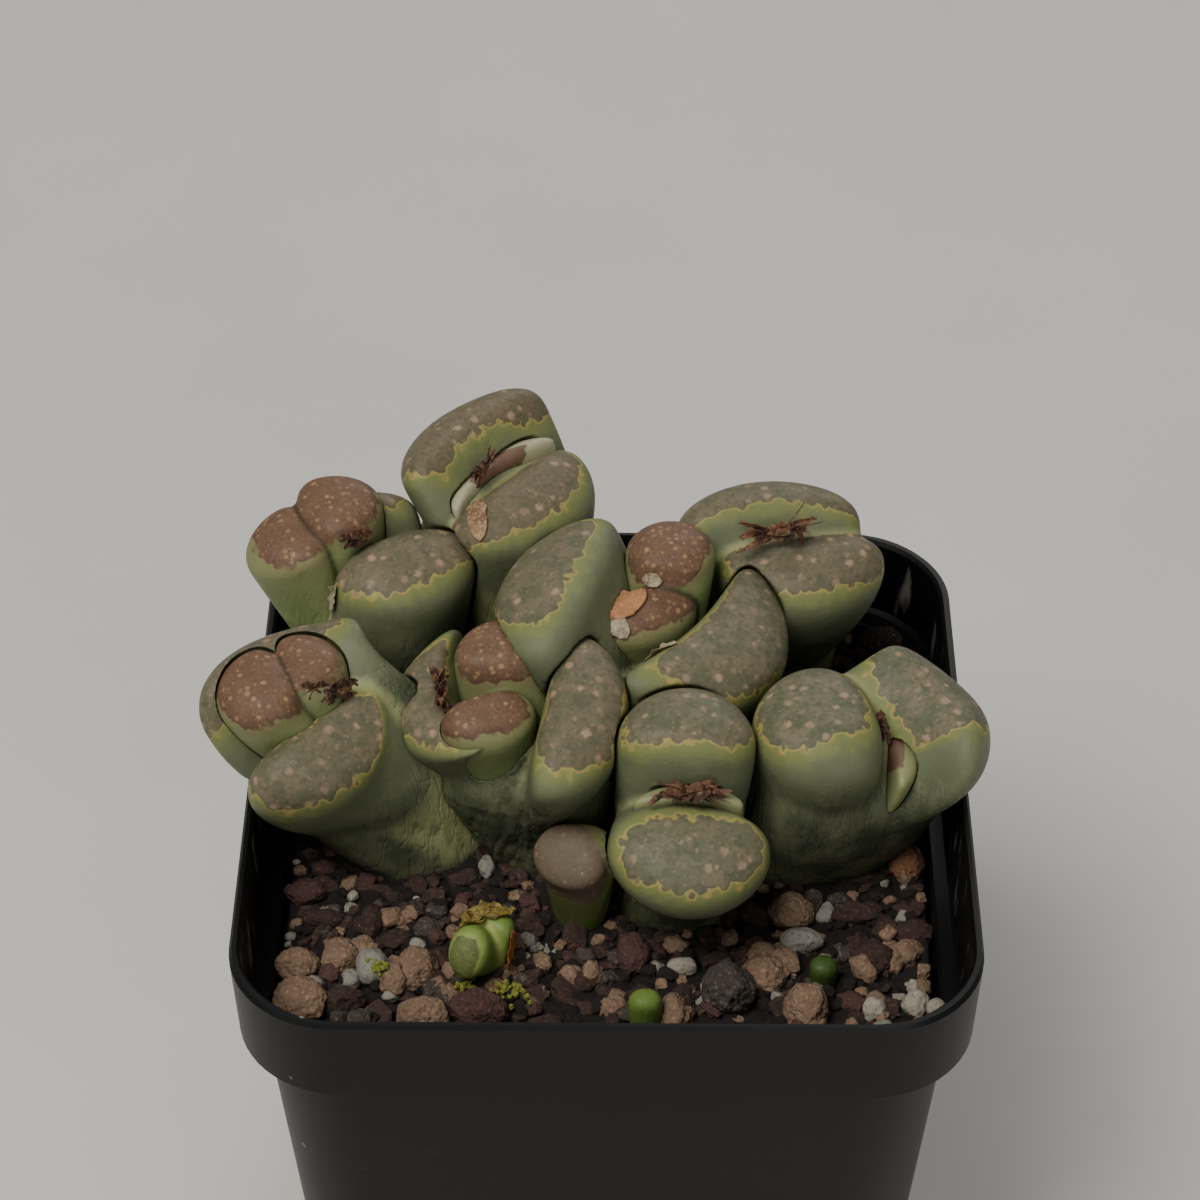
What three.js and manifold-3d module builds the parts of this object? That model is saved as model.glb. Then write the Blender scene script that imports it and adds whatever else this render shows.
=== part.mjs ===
// A clump of living stones (Lithops) in a square nursery pot of gritty soil.
// Millimetres, +Z up. The origin is the centre of the pot's underside.
// A plant body is a pair of fat leaves joined low down, with a fissure between them.
// Most old pairs hold a young pair, turned a quarter round, in their fissure.
import * as THREE from 'three';
import { mergeVertices } from 'three/addons/utils/BufferGeometryUtils.js';
import Module from 'manifold-3d';

const wasm = await Module();
wasm.setup();

// ---------- driving dimensions ----------
const GAP = 0.3;              // clear space between neighbouring pieces
const POT = {
  width: 90, height: 80, corner: 13, wall: 1.2, collar: 12.8, collarDraft: 0.5,
  ledge: 2.6, draft: 0.08, floor: 1.6, drain: 5, drainPlace: 24,
};
const RIM = POT.height;
const SOIL = RIM - 13;        // the soil's level
const ROOT_DEPTH = 7;         // how deep a plant body stands in the soil
const LEAF_DEPTH = -1;        // a leaf ends this deep, inside its pair's joined stump
const LEAF_WAIST = 0.85;      // and is this narrow there, as a share of the root
const YOUNG_DEPTH = -3;       // a young pair ends above the soil, inside the old pair
const CAP_POWER = 2.5;        // squareness of a leaf's edge, from the side
const RING_POWER = 2.05;      // squareness of a leaf's outline, from above
const STUMP_POWER = 2.8;      // the same, of the part where a pair is joined
const SLIM_POWER = 1.75;      // how late a leaf narrows towards its root
const PULL = 0.42;            // how far a leaf keeps its lean, as a share of its length
const STUMP = { size: 0.86, reach: 0.85, cap: 4.5 };  // against its leaves, and its domed top
const OLD_SIDES = [14, 9];    // sides and rings of an old leaf
const YOUNG_SIDES = [10, 8];
const SEEDLING_SIDES = [10, 6];

// A leaf's `top` is the middle of its face, from the pot's axis and the rim. `out` is
// the bearing it leans away from the fissure, in degrees from +X, `tilt` how far its
// face leans that way and `roll` how far it leans along the fissure. `half`, `outer`
// and `inner` are its half length along the fissure and its reach away from and towards
// it. `bend` curls the ends towards the fissure and `cap` is the depth of the domed
// face. `web` is how far below its faces a pair is joined.
const PAIRS = [
  {
    name: 'front', root: [8.3, -8], waist: 8, web: 12,
    leaves: [
      { top: [9.7, -6.7, 14.8], out: 90, tilt: 2, half: 8.6, outer: 7.8, inner: 5.5, bend: 1.0, cap: 5 },
      {
        top: [10.0, -23.3, 6.0], out: -90, tilt: 26,
        half: 10.0, outer: 6.5, inner: 7.3, bend: 1.5, cap: 5,
      },
    ],
    young: {
      root: [9.5, -10], waist: 3,
      leaves: [
        {
          top: [9.9, -12.7, 7.6], out: 90, tilt: 8,
          half: 6.8, outer: 1.7, inner: 1.6, bend: 1.5, cap: 1.4,
        },
      ],
    },
  },
  {
    name: 'left', root: [-22.5, 1.5], waist: 8, web: 11,
    leaves: [
      {
        top: [-43.6, 8.0, 13.0], out: 124, tilt: 34,
        half: 12.0, outer: 5.6, inner: 5.0, bend: 3.2, cap: 5.5,
      },
      {
        top: [-34.0, -9.0, 9.5], out: -52, tilt: 30,
        half: 10.6, outer: 5.4, inner: 6.0, bend: 2.5, cap: 5.5,
      },
    ],
    young: {
      root: [-30, 1], waist: 4.5,
      leaves: [
        {
          top: [-44.3, 0.2, 13.8], out: 200, tilt: 14,
          half: 7.2, outer: 6.3, inner: 4.5, bend: 1.0, cap: 4,
        },
        { top: [-37.4, 4.2, 14.4], out: 20, tilt: 0, half: 6.8, outer: 5.5, inner: 4.0, bend: 1.0, cap: 4 },
      ],
    },
  },
  {
    name: 'mid_left', root: [-6.8, -2], waist: 4.8, web: 9.5, webSize: 0.6, slim: 1.15,
    leaves: [
      {
        top: [-23.5, 1.5, 9.8], out: 190, tilt: 16, roll: -6,
        half: 12.6, outer: 5.5, inner: 3.5, bend: 6.0, cap: 5,
      },
      {
        top: [-3.2, -5.0, 14.5], out: -10, tilt: 8, roll: 12,
        half: 12.6, outer: 6.3, inner: 4.5, bend: 2.0, cap: 4.5,
      },
    ],
    young: {
      root: [-10, -1], waist: 3.6,
      leaves: [
        { top: [-13.5, 5.5, 15.5], out: 92, tilt: 4, half: 5.8, outer: 6.5, inner: 4.0, bend: 0.5, cap: 3 },
        {
          top: [-14.5, -5.0, 12.5], out: -75, tilt: 24,
          half: 6.0, outer: 4.2, inner: 4.0, bend: 0.5, cap: 3.5,
        },
      ],
    },
  },
  {
    name: 'right', root: [24, 1.5], waist: 8, web: 9, webSize: 1.0,
    leaves: [
      {
        top: [25.0, -5.0, 13.8], out: 197, tilt: 6,
        half: 9.5, outer: 7.6, inner: 8.2, bend: 1.5, cap: 5.5,
      },
      {
        top: [44.8, 1.4, 10.0], out: 25, tilt: 42,
        half: 11.0, outer: 5.6, inner: 5.4, bend: 3.5, cap: 6, pull: 0.34,
      },
    ],
    young: {
      root: [31, 0], waist: 3,
      leaves: [
        {
          top: [36.5, -2.0, 6.8], out: 17, tilt: 14,
          half: 8.0, outer: 2.2, inner: 2.0, bend: 2.5, cap: 1.6,
        },
      ],
    },
  },
  {
    name: 'centre', root: [4, 12], waist: 7.5, web: 13,
    leaves: [
      {
        top: [-8.5, 15.2, 18.8], out: 164, tilt: 16,
        half: 14.0, outer: 7.0, inner: 7.0, bend: 2.5, cap: 4.5,
      },
      { top: [15.3, 8.0, 14.5], out: -34, tilt: 12, half: 14.6, outer: 8.0, inner: 5.0, bend: 5.0, cap: 5 },
    ],
    young: {
      root: [4, 13], waist: 4.5,
      leaves: [
        {
          top: [8.0, 22.5, 18.4], out: 80, tilt: 6,
          half: 6.0, outer: 6.0, inner: 5.0, bend: 0.5, cap: 3.2,
        },
        {
          top: [5.5, 13.2, 14.1], out: -60, tilt: 20,
          half: 7.0, outer: 4.2, inner: 4.0, bend: 0.5, cap: 3.5,
        },
      ],
    },
  },
  {
    name: 'back_left', root: [-28, 20], waist: 8, web: 12,
    leaves: [
      {
        top: [-25.3, 21.0, 16.0], out: -60, tilt: 12,
        half: 9.6, outer: 7.0, inner: 6.0, bend: 1.0, cap: 5,
      },
      {
        top: [-35.0, 32.0, 16.0], out: 118, tilt: 20,
        half: 9.5, outer: 5.0, inner: 4.0, bend: 2.0, cap: 5,
      },
    ],
    young: {
      root: [-33, 23], waist: 5,
      leaves: [
        {
          top: [-42.3, 25.5, 16.0], out: 205, tilt: 20,
          half: 6.2, outer: 6.0, inner: 5.0, bend: 1.0, cap: 3.5,
        },
        {
          top: [-35.0, 29.5, 19.3], out: 25, tilt: 0,
          half: 6.4, outer: 5.8, inner: 5.0, bend: 1.0, cap: 3.5,
        },
      ],
    },
  },
  {
    name: 'back_right', root: [20.5, 29], waist: 7.5, web: 12,
    leaves: [
      {
        top: [20.0, 33.5, 17.3], out: 98, tilt: 20,
        half: 12.2, outer: 6.5, inner: 5.5, bend: 2.5, cap: 5.5,
      },
      {
        top: [25.7, 22.0, 14.3], out: -78, tilt: 12,
        half: 11.2, outer: 6.5, inner: 6.0, bend: 2.5, cap: 5.5,
      },
    ],
  },
  {
    name: 'back', root: [-9, 30], waist: 8.5, web: 12,
    leaves: [
      {
        top: [-21.3, 43.2, 21.2], out: 140, tilt: 34,
        half: 12.8, outer: 6.0, inner: 5.0, bend: 3.0, cap: 5.5,
      },
      {
        top: [-9.4, 31.2, 18.4], out: -40, tilt: 14,
        half: 11.8, outer: 7.0, inner: 5.5, bend: 2.5, cap: 5,
      },
    ],
    young: {
      root: [-11, 32], waist: 3,
      leaves: [
        {
          top: [-16.3, 37.9, 18.0], out: 140, tilt: 10,
          half: 9.8, outer: 2.2, inner: 2.0, bend: 3.2, cap: 1.6,
        },
      ],
    },
  },
];

// Small plants standing in the soil among the old ones, built like a pair.
const SEEDLINGS = [
  {
    name: 'seedling_round', root: [-3.5, -13.5], waist: 2.6, depth: 3,
    leaves: [
      {
        top: [-5.2, -16.0, -0.6], out: -120, tilt: 40,
        half: 4.9, outer: 3.9, inner: 4.2, bend: 0, cap: 2.4,
      },
      { top: [-1.8, -13.0, 0.6], out: 60, tilt: 10, half: 4.2, outer: 2.2, inner: 1.8, bend: 1, cap: 2 },
    ],
  },
  {
    name: 'seedling_torn', root: [-14.5, -21.5], waist: 1.9, depth: 3,
    leaves: [
      {
        top: [-17.2, -26.8, -6.6], out: -110, tilt: 50,
        half: 2.6, outer: 3.4, inner: 3.2, bend: 0, cap: 2,
      },
      { top: [-13.6, -20.2, -6.4], out: 60, tilt: 25, half: 3.2, outer: 2.6, inner: 2.2, bend: 1, cap: 2 },
    ],
  },
  {
    name: 'seedling_front', root: [4.8, -32.2], waist: 1.5, depth: 3,
    leaves: [
      { top: [4.7, -32.2, -8.0], out: 90, tilt: 0, half: 2.1, outer: 1.8, inner: 1.8, bend: 0, cap: 1.8 },
    ],
  },
  {
    name: 'seedling_right', root: [26.6, -24.6], waist: 1.4, depth: 3,
    leaves: [
      { top: [26.6, -24.8, -9.8], out: 90, tilt: 0, half: 1.8, outer: 1.7, inner: 1.7, bend: 0, cap: 1.6 },
    ],
  },
];

// The larger stones of the soil: x, y, half width, half depth and half height.
const STONES = [
  [-37.3, -29.8, 3.4, 3.4, 2.6], [-38.0, -23.4, 2.9, 2.5, 2.3], [-32.9, -22.3, 2.6, 2.8, 2.2],
  [-23.4, -23.9, 2.9, 3.1, 2.6], [-22.2, -31.9, 3.3, 2.7, 2.4], [-15.6, -31.3, 3.6, 2.7, 2.5],
  [-31.8, -29.6, 2.6, 1.7, 2.0], [-36.0, -26.8, 1.5, 1.5, 1.4], [-28.9, -24.0, 2.1, 2.7, 2.3],
  [-29.4, -16.3, 1.4, 3.0, 1.7], [-38.0, -10.8, 2.6, 1.9, 1.7], [-35.2, -15.6, 3.0, 1.4, 1.5],
  [3.3, -21.5, 2.0, 3.4, 2.0], [9.4, -23.6, 2.0, 1.3, 1.4], [14.9, -28.2, 3.4, 3.9, 3.0],
  [19.5, -24.6, 3.2, 2.8, 2.3], [24.3, -30.2, 2.9, 3.5, 2.6], [23.0, -14.0, 2.9, 2.8, 2.4],
  [24.2, -18.9, 2.8, 1.9, 1.7], [37.9, -5.0, 2.4, 2.9, 2.2], [32.8, -29.6, 1.6, 1.6, 1.5],
  [37.8, -28.8, 1.9, 1.9, 1.8], [40.3, -30.5, 1.4, 1.6, 1.4], [38.3, -17.0, 2.6, 1.9, 1.6],
  [31.0, -14.0, 3.4, 1.5, 1.5], [-4.4, -24.4, 1.7, 1.6, 1.4], [1.0, -30.0, 2.2, 2.0, 1.7],
  [8.3, -31.3, 1.8, 2.8, 1.9], [36.8, 36.6, 3.0, 2.6, 1.9], [38.6, 25.0, 2.2, 2.4, 1.7],
  [36.9, 15.0, 2.0, 2.4, 1.6], [33.0, -21.5, 2.6, 2.2, 1.6],
];
const COARSE_STONE = 3.1;     // stones wider than this get a finer ball
const GRAVEL = { seed: 7, tries: 34, small: 1.3, large: 2.3, straight: 27, room: 0.6 };
const ROUGH = { least: 0.84, spread: 0.26 };
const STONE_RISE = 0.35;      // how far a stone's middle is above the soil, as a share of its height

// ---------- solids ----------
function solidOf(geometry) {
  const bare = geometry.clone();
  bare.deleteAttribute('normal');
  bare.deleteAttribute('uv');
  const merged = mergeVertices(bare, 1e-4);
  return new wasm.Manifold(new wasm.Mesh({
    numProp: 3,
    vertProperties: new Float32Array(merged.attributes.position.array),
    triVerts: new Uint32Array(merged.index.array),
  }));
}

function geometryOf(solid) {
  const mesh = solid.getMesh();
  const positions = new Float32Array(mesh.numVert * 3);
  for (let i = 0; i < mesh.numVert; i += 1) {
    positions.set(mesh.vertProperties.subarray(i * mesh.numProp, i * mesh.numProp + 3), i * 3);
  }
  const geometry = new THREE.BufferGeometry();
  geometry.setAttribute('position', new THREE.BufferAttribute(positions, 3));
  geometry.setIndex(new THREE.BufferAttribute(mesh.triVerts, 1));
  geometry.computeVertexNormals();
  return geometry;
}

function joined(solids) {
  return solids.reduce((sum, solid) => sum.add(solid));
}

function biggestPiece(solid) {
  const pieces = solid.decompose();
  return pieces.reduce((best, piece) => (piece.volume() > best.volume() ? piece : best));
}

// ---------- leaves ----------
const { degToRad, clamp } = THREE.MathUtils;
const UP = new THREE.Vector3(0, 0, 1);

function bearing(degrees) {
  return new THREE.Vector3(Math.cos(degToRad(degrees)), Math.sin(degToRad(degrees)), 0);
}

function squared(value, power) {
  return Math.sign(value) * Math.abs(value) ** (2 / power);
}

// The line a leaf follows from the middle of its face down to its root.
function spineOf(leaf, pair, grow) {
  const out = bearing(leaf.out);
  const along = new THREE.Vector3().crossVectors(UP, out);
  const normal = UP.clone()
    .applyAxisAngle(along, degToRad(leaf.tilt))
    .applyAxisAngle(out, degToRad(leaf.roll ?? 0));
  const top = new THREE.Vector3(leaf.top[0], leaf.top[1], RIM + leaf.top[2]).addScaledVector(normal, grow);
  const foot = new THREE.Vector3(pair.root[0], pair.root[1], SOIL - (leaf.depth ?? pair.depth) - grow);
  const pull = top.distanceTo(foot) * (leaf.pull ?? PULL);
  return new THREE.CubicBezierCurve3(
    top,
    top.clone().addScaledVector(normal, -pull),
    foot.clone().addScaledVector(UP, pull),
    foot,
  );
}

// A sphere's rings are laid along the spine: the first half make the domed face.
function leafSolid(leaf, pair, grow, around, rings) {
  const out = bearing(leaf.out);
  const spine = spineOf(leaf, pair, grow);
  const length = spine.getLength();
  const cap = leaf.cap + grow;
  const capRings = Math.round(rings * 0.5);
  const waist = leaf.waist ?? pair.waist;
  const power = leaf.power ?? RING_POWER;
  const shape = new THREE.SphereGeometry(1, around, rings);
  const position = shape.attributes.position;
  const point = new THREE.Vector3();
  for (let i = 0; i < position.count; i += 1) {
    point.fromBufferAttribute(position, i);
    const ring = Math.round((Math.acos(clamp(point.y, -1, 1)) / Math.PI) * rings);
    const turn = Math.atan2(point.z, point.x);
    const lift = (Math.min(ring, capRings) / capRings) * (Math.PI / 2);
    const share = clamp((ring - capRings) / (rings - 1 - capRings), 0, 1);
    const spread = ring === rings ? 0 : squared(Math.sin(lift), CAP_POWER);
    const dome = cap * (1 - squared(Math.cos(lift), CAP_POWER));
    const depth = dome + (length - cap) * share;
    const slim = share ** (pair.slim ?? SLIM_POWER);
    const centre = spine.getPointAt(clamp(depth / length, 0, 1));
    const axis = spine.getTangentAt(clamp(depth / length, 0, 1)).negate();
    const away = out.clone().addScaledVector(axis, -out.dot(axis)).normalize();
    const side = new THREE.Vector3().crossVectors(axis, away);
    const ease = (wide) => wide + (waist - wide) * slim + grow;
    const reach = Math.sin(turn) >= 0 ? leaf.outer : leaf.inner;
    const bend = leaf.bend * (1 - slim) * Math.cos(turn) ** 2;
    const u = squared(Math.cos(turn), power) * spread * ease(leaf.half);
    const v = squared(Math.sin(turn), power) * spread * ease(reach) - bend * spread;
    centre.addScaledVector(side, u).addScaledVector(away, v);
    position.setXYZ(i, centre.x, centre.y, centre.z);
  }
  return solidOf(shape);
}

// The joined part of a pair: a fat stump between its two leaves, below the fissure.
function stumpOf(pair) {
  const [a, b] = pair.leaves;
  const low = [a, b].map((leaf) => {
    const spine = spineOf({ ...leaf, depth: LEAF_DEPTH }, pair, 0);
    return spine.getPointAt(pair.web / spine.getLength());
  });
  const middle = low[0].clone().add(low[1]).multiplyScalar(0.5);
  const across = low[0].clone().sub(low[1]);
  const apart = across.length() / 2;
  return {
    top: [middle.x, middle.y, middle.z - RIM],
    out: Math.atan2(across.y, across.x) / degToRad(1),
    tilt: -Math.asin(across.z / across.length()) / degToRad(1),
    half: Math.min(a.half, b.half) * (pair.webSize ?? STUMP.size),
    outer: apart + a.outer * STUMP.reach,
    inner: apart + b.outer * STUMP.reach,
    bend: 0,
    cap: STUMP.cap,
    power: STUMP_POWER,
    depth: ROOT_DEPTH,
  };
}

function pairSolid(pair, grow, around, rings) {
  if (!pair.web) return joined(pair.leaves.map((leaf) => leafSolid(leaf, pair, grow, around, rings)));
  const leaves = pair.leaves.map((leaf) => ({ ...leaf, depth: LEAF_DEPTH, waist: pair.waist * LEAF_WAIST }));
  const solids = leaves.map((leaf) => leafSolid(leaf, pair, grow, around, rings));
  return joined([...solids, leafSolid(stumpOf(pair), pair, grow, around, rings - 2)]);
}

// ---------- pot and soil ----------
function squareShape(corner) {
  const shape = new THREE.Shape();
  const flat = 1 - corner;
  shape.moveTo(-flat, -1);
  shape.lineTo(flat, -1);
  shape.absarc(flat, -flat, corner, -Math.PI / 2, 0, false);
  shape.lineTo(1, flat);
  shape.absarc(flat, flat, corner, 0, Math.PI / 2, false);
  shape.lineTo(-flat, 1);
  shape.absarc(-flat, flat, corner, Math.PI / 2, Math.PI, false);
  shape.lineTo(-1, -flat);
  shape.absarc(-flat, -flat, corner, Math.PI, Math.PI * 1.5, false);
  return shape;
}

// A square block with round corners between two heights, with a half width at each.
function block(low, high, halfLow, halfHigh) {
  const geometry = new THREE.ExtrudeGeometry(squareShape(POT.corner / halfHigh), {
    depth: 1, bevelEnabled: false, curveSegments: 5,
  });
  const position = geometry.attributes.position;
  for (let i = 0; i < position.count; i += 1) {
    const level = position.getZ(i);
    const half = halfLow + (halfHigh - halfLow) * level;
    position.setXYZ(i, position.getX(i) * half, position.getY(i) * half, low + (high - low) * level);
  }
  return solidOf(geometry);
}

const collarLow = RIM - POT.collar;
const collarHigh = POT.width / 2;
const collarFoot = collarHigh - POT.collarDraft;
const bodyHigh = collarFoot - POT.ledge;
const bodyLow = bodyHigh - collarLow * POT.draft;

function potSolid(grow) {
  const shell = block(collarLow, RIM + grow, collarFoot + grow, collarHigh + grow)
    .add(block(0, collarLow + 0.01, bodyLow, bodyHigh));
  const shelf = collarLow + POT.wall;
  const inside = POT.wall + grow;
  const hollow = block(shelf, RIM + 1, collarFoot - inside, collarHigh - inside)
    .add(block(POT.floor + grow, shelf + 0.1, bodyLow - inside, bodyHigh - inside));
  return shell.subtract(hollow);
}

// Four round holes through the pot's floor, towards its corners.
function drains() {
  return joined([-1, 1].flatMap((sx) => [-1, 1].map((sy) => {
    const hole = new THREE.CylinderGeometry(POT.drain / 2, POT.drain / 2, POT.floor * 3, 10);
    hole.rotateX(Math.PI / 2).translate(sx * POT.drainPlace, sy * POT.drainPlace, 0);
    return solidOf(hole);
  })));
}

// The soil is made a little too wide here; the pot, grown by the gap, trims it.
function soilBlock() {
  const half = POT.wall / 2;
  return block(POT.floor / 2, SOIL, bodyLow - half, bodyHigh - half);
}

// ---------- stones ----------
function randomFrom(seed) {
  let state = seed;
  return () => {
    state = (state * 1664525 + 1013904223) % 4294967296;
    return state / 4294967296;
  };
}

// A stone is a coarse ball pulled out of round, more than half sunk in the soil.
function stoneSolid([x, y, width, depth, height], random, detail) {
  const geometry = new THREE.IcosahedronGeometry(1, detail);
  geometry.deleteAttribute('normal');
  geometry.deleteAttribute('uv');
  const ball = mergeVertices(geometry, 1e-4);
  const position = ball.attributes.position;
  const angle = random() * Math.PI;
  for (let i = 0; i < position.count; i += 1) {
    const rough = ROUGH.least + random() * ROUGH.spread;
    const u = position.getX(i) * Math.cos(angle) - position.getY(i) * Math.sin(angle);
    const v = position.getX(i) * Math.sin(angle) + position.getY(i) * Math.cos(angle);
    const z = SOIL + height * (STONE_RISE + position.getZ(i) * rough);
    position.setXYZ(i, x + u * width * rough, y + v * depth * rough, z);
  }
  return solidOf(ball);
}

// Whether a small stone fits inside the pot, beside the stones so far and the plants.
function roomFor(x, y, size, inner, placed, stands) {
  const past = (value) => Math.max(Math.abs(value) - GRAVEL.straight, 0);
  const inside = Math.hypot(past(x), past(y)) + size < inner - GRAVEL.straight;
  const apart = placed.every(([px, py, w, d]) => Math.hypot(px - x, py - y) > Math.max(w, d) + size);
  const beside = stands.every(([px, py, w]) => Math.hypot(px - x, py - y) > w + size + GRAVEL.room);
  return inside && apart && beside;
}

function stones() {
  const random = randomFrom(GRAVEL.seed);
  const placed = [...STONES];
  const solids = STONES.map((stone) => stoneSolid(stone, random, stone[2] > COARSE_STONE ? 1 : 0));
  const stands = [...PAIRS, ...SEEDLINGS].map((pair) => [...pair.root, pair.waist]);
  const inner = bodyHigh - POT.wall - GAP;
  for (let i = 0; i < GRAVEL.tries; i += 1) {
    const size = GRAVEL.small + (GRAVEL.large - GRAVEL.small) * random() ** 2;
    const x = (random() * 2 - 1) * (inner - size);
    const y = (random() * 2 - 1) * (inner - size);
    if (roomFor(x, y, size, inner, placed, stands)) {
      const stone = [x, y, size, size * (0.7 + random() * 0.3), size * 0.8];
      placed.push(stone);
      solids.push(stoneSolid(stone, random, 0));
    }
  }
  return joined(solids);
}

// ---------- dried remains ----------
// A thin curled strip from one point, running one way and narrowing towards its end.
function strip(from, direction, { length, width, curl, thick }) {
  const geometry = new THREE.BoxGeometry(length, width, thick, 2, 1, 1);
  const position = geometry.attributes.position;
  const ahead = new THREE.Vector3(1, 0, 0);
  const turn = new THREE.Quaternion().setFromUnitVectors(ahead, direction.clone().normalize());
  const point = new THREE.Vector3();
  for (let i = 0; i < position.count; i += 1) {
    point.fromBufferAttribute(position, i);
    const share = point.x / length + 0.5;
    point.x = share * length;
    point.y *= 1 - STRIP.narrow * share;
    point.z += curl * Math.sin(share * Math.PI * STRIP.arc);
    point.applyQuaternion(turn).add(from);
    position.setXYZ(i, point.x, point.y, point.z);
  }
  return solidOf(geometry);
}

// A crumpled lump, pulled to three half sizes and turned about the upright.
function lumpSolid(middle, size, turn, random) {
  const geometry = new THREE.IcosahedronGeometry(1, 0);
  geometry.deleteAttribute('normal');
  geometry.deleteAttribute('uv');
  const lump = mergeVertices(geometry, 1e-4);
  const position = lump.attributes.position;
  const scale = new THREE.Vector3(...size);
  const point = new THREE.Vector3();
  for (let i = 0; i < position.count; i += 1) {
    point.fromBufferAttribute(position, i).multiplyScalar(0.85 + random() * 0.35);
    point.multiply(scale).applyAxisAngle(UP, turn).add(middle);
    position.setXYZ(i, point.x, point.y, point.z);
  }
  return solidOf(lump);
}

// A withered flower: a crumpled lump with curled strips and stalks standing out of it.
function driedFlower({ at, turn, size, rise, strips, stalks, seed }) {
  const random = randomFrom(seed);
  const angle = degToRad(turn);
  const middle = new THREE.Vector3(at[0], at[1], RIM + at[2]);
  const pieces = [lumpSolid(middle, size, angle, random)];
  for (let i = 0; i < strips + stalks; i += 1) {
    const kind = i < strips ? PETAL : STALK;
    const offset = new THREE.Vector3((random() - 0.5) * size[0], (random() - 0.5) * size[1] * 0.6, 0);
    const lean = new THREE.Vector3((random() * 2 - 1) * 1.4, (random() * 2 - 1) * 0.7, rise + random() * 0.6);
    const from = offset.applyAxisAngle(UP, angle).add(middle);
    const length = size[0] * kind.length * (0.8 + random() * 0.4);
    const curl = (random() - 0.5) * STRIP.curl;
    pieces.push(strip(from, lean.applyAxisAngle(UP, angle), { ...kind, length, curl }));
  }
  return joined(pieces);
}

const STRIP = { narrow: 0.5, arc: 0.8, curl: 1.6 };
const PETAL = { length: 0.8, width: 1.5, thick: 0.7 };   // length against the flower's own
const STALK = { length: 1.2, width: 0.7, thick: 0.7 };
const SKIN = { curl: 0.4, thick: 2.2 };

const FLOWERS = [
  {
    name: 'flower_back', at: [-16.5, 33.8, 18.9], turn: 50,
    size: [2.6, 1.1, 1.0], rise: 0.5, strips: 1, stalks: 3, seed: 3,
  },
  {
    name: 'flower_back_left', at: [-32.2, 22.6, 17.0], turn: 40,
    size: [2.8, 1.6, 1.7], rise: 0.5, strips: 5, stalks: 0, seed: 11,
  },
  {
    name: 'flower_left', at: [-34.6, -1.8, 11.0], turn: 28,
    size: [4.6, 1.2, 1.2], rise: 0.4, strips: 3, stalks: 2, seed: 5,
  },
  {
    name: 'flower_mid_left', at: [-20.5, 0.6, 9.8], turn: 98,
    size: [4.8, 1.9, 1.9], rise: 0.3, strips: 5, stalks: 1, seed: 23,
  },
  {
    name: 'flower_back_right', at: [20.8, 25.4, 14.8], turn: 14,
    size: [5.0, 1.2, 1.3], rise: 0.3, strips: 4, stalks: 2, seed: 31,
  },
  {
    name: 'flower_front', at: [9.8, -15.0, 7.8], turn: 0,
    size: [5.2, 1.4, 1.2], rise: 0.1, strips: 5, stalks: 1, seed: 43,
  },
  {
    name: 'flower_right', at: [32.6, -1.8, 7.8], turn: 100,
    size: [4.0, 1.1, 1.2], rise: 0.5, strips: 3, stalks: 2, seed: 57,
  },
];

// Dry scraps of old skin lying on a leaf: where each starts, which way it runs, its size.
const SCRAPS = [
  { name: 'scrap_back', at: [-17.0, 27.0, 18.2], toward: [0.12, -0.82, -0.55], length: 6.5, width: 2.6 },
  { name: 'scrap_centre', at: [1.0, 12.4, 14.4], toward: [0.6, 0.72, 0.1], length: 6.0, width: 4.4 },
];

// ---------- assembly ----------
const COLOURS = {
  pot: 0x1b1c1d, old: 0x6f7a5c, young: 0x8a6a5c, seedling: 0x7f9a4a,
  dry: 0x5a4034, skin: 0xa9855c, soil: 0x4a382d,
};
const potted = new THREE.Group();

function place(name, solid, color, roughness) {
  const material = new THREE.MeshStandardMaterial({ color, roughness, metalness: 0 });
  const mesh = new THREE.Mesh(geometryOf(solid), material);
  mesh.name = name;
  potted.add(mesh);
}

// The pot and every plant so far, grown by the gap, in front-to-back order.
const standing = [potSolid(GAP)];
function clearOf(solid) {
  return biggestPiece(standing.reduce((rest, other) => rest.subtract(other), solid));
}

place('pot', potSolid(0).subtract(drains()), COLOURS.pot, 0.7);
for (const pair of PAIRS) {
  const grown = [pairSolid(pair, GAP, ...OLD_SIDES)];
  let old = clearOf(pairSolid(pair, 0, ...OLD_SIDES));
  if (pair.young) {
    const young = { ...pair.young, depth: YOUNG_DEPTH };
    const socket = pairSolid(young, GAP, ...YOUNG_SIDES);
    place(`young_${pair.name}`, clearOf(pairSolid(young, 0, ...YOUNG_SIDES)), COLOURS.young, 0.7);
    old = biggestPiece(old.subtract(socket));
    grown.push(socket);
  }
  place(`leaves_${pair.name}`, old, COLOURS.old, 0.6);
  standing.push(...grown);
}
for (const seedling of SEEDLINGS) {
  place(seedling.name, clearOf(pairSolid(seedling, 0, ...SEEDLING_SIDES)), COLOURS.seedling, 0.6);
  standing.push(pairSolid(seedling, GAP, ...SEEDLING_SIDES));
}
for (const flower of FLOWERS) {
  place(flower.name, clearOf(driedFlower(flower)), COLOURS.dry, 0.9);
}
for (const { name, at, toward, length, width } of SCRAPS) {
  const from = new THREE.Vector3(at[0], at[1], RIM + at[2]);
  const solid = strip(from, new THREE.Vector3(...toward), { ...SKIN, length, width });
  place(name, clearOf(solid), COLOURS.skin, 0.9);
}
place('soil', clearOf(soilBlock().add(stones())), COLOURS.soil, 0.95);

export default potted;
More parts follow.
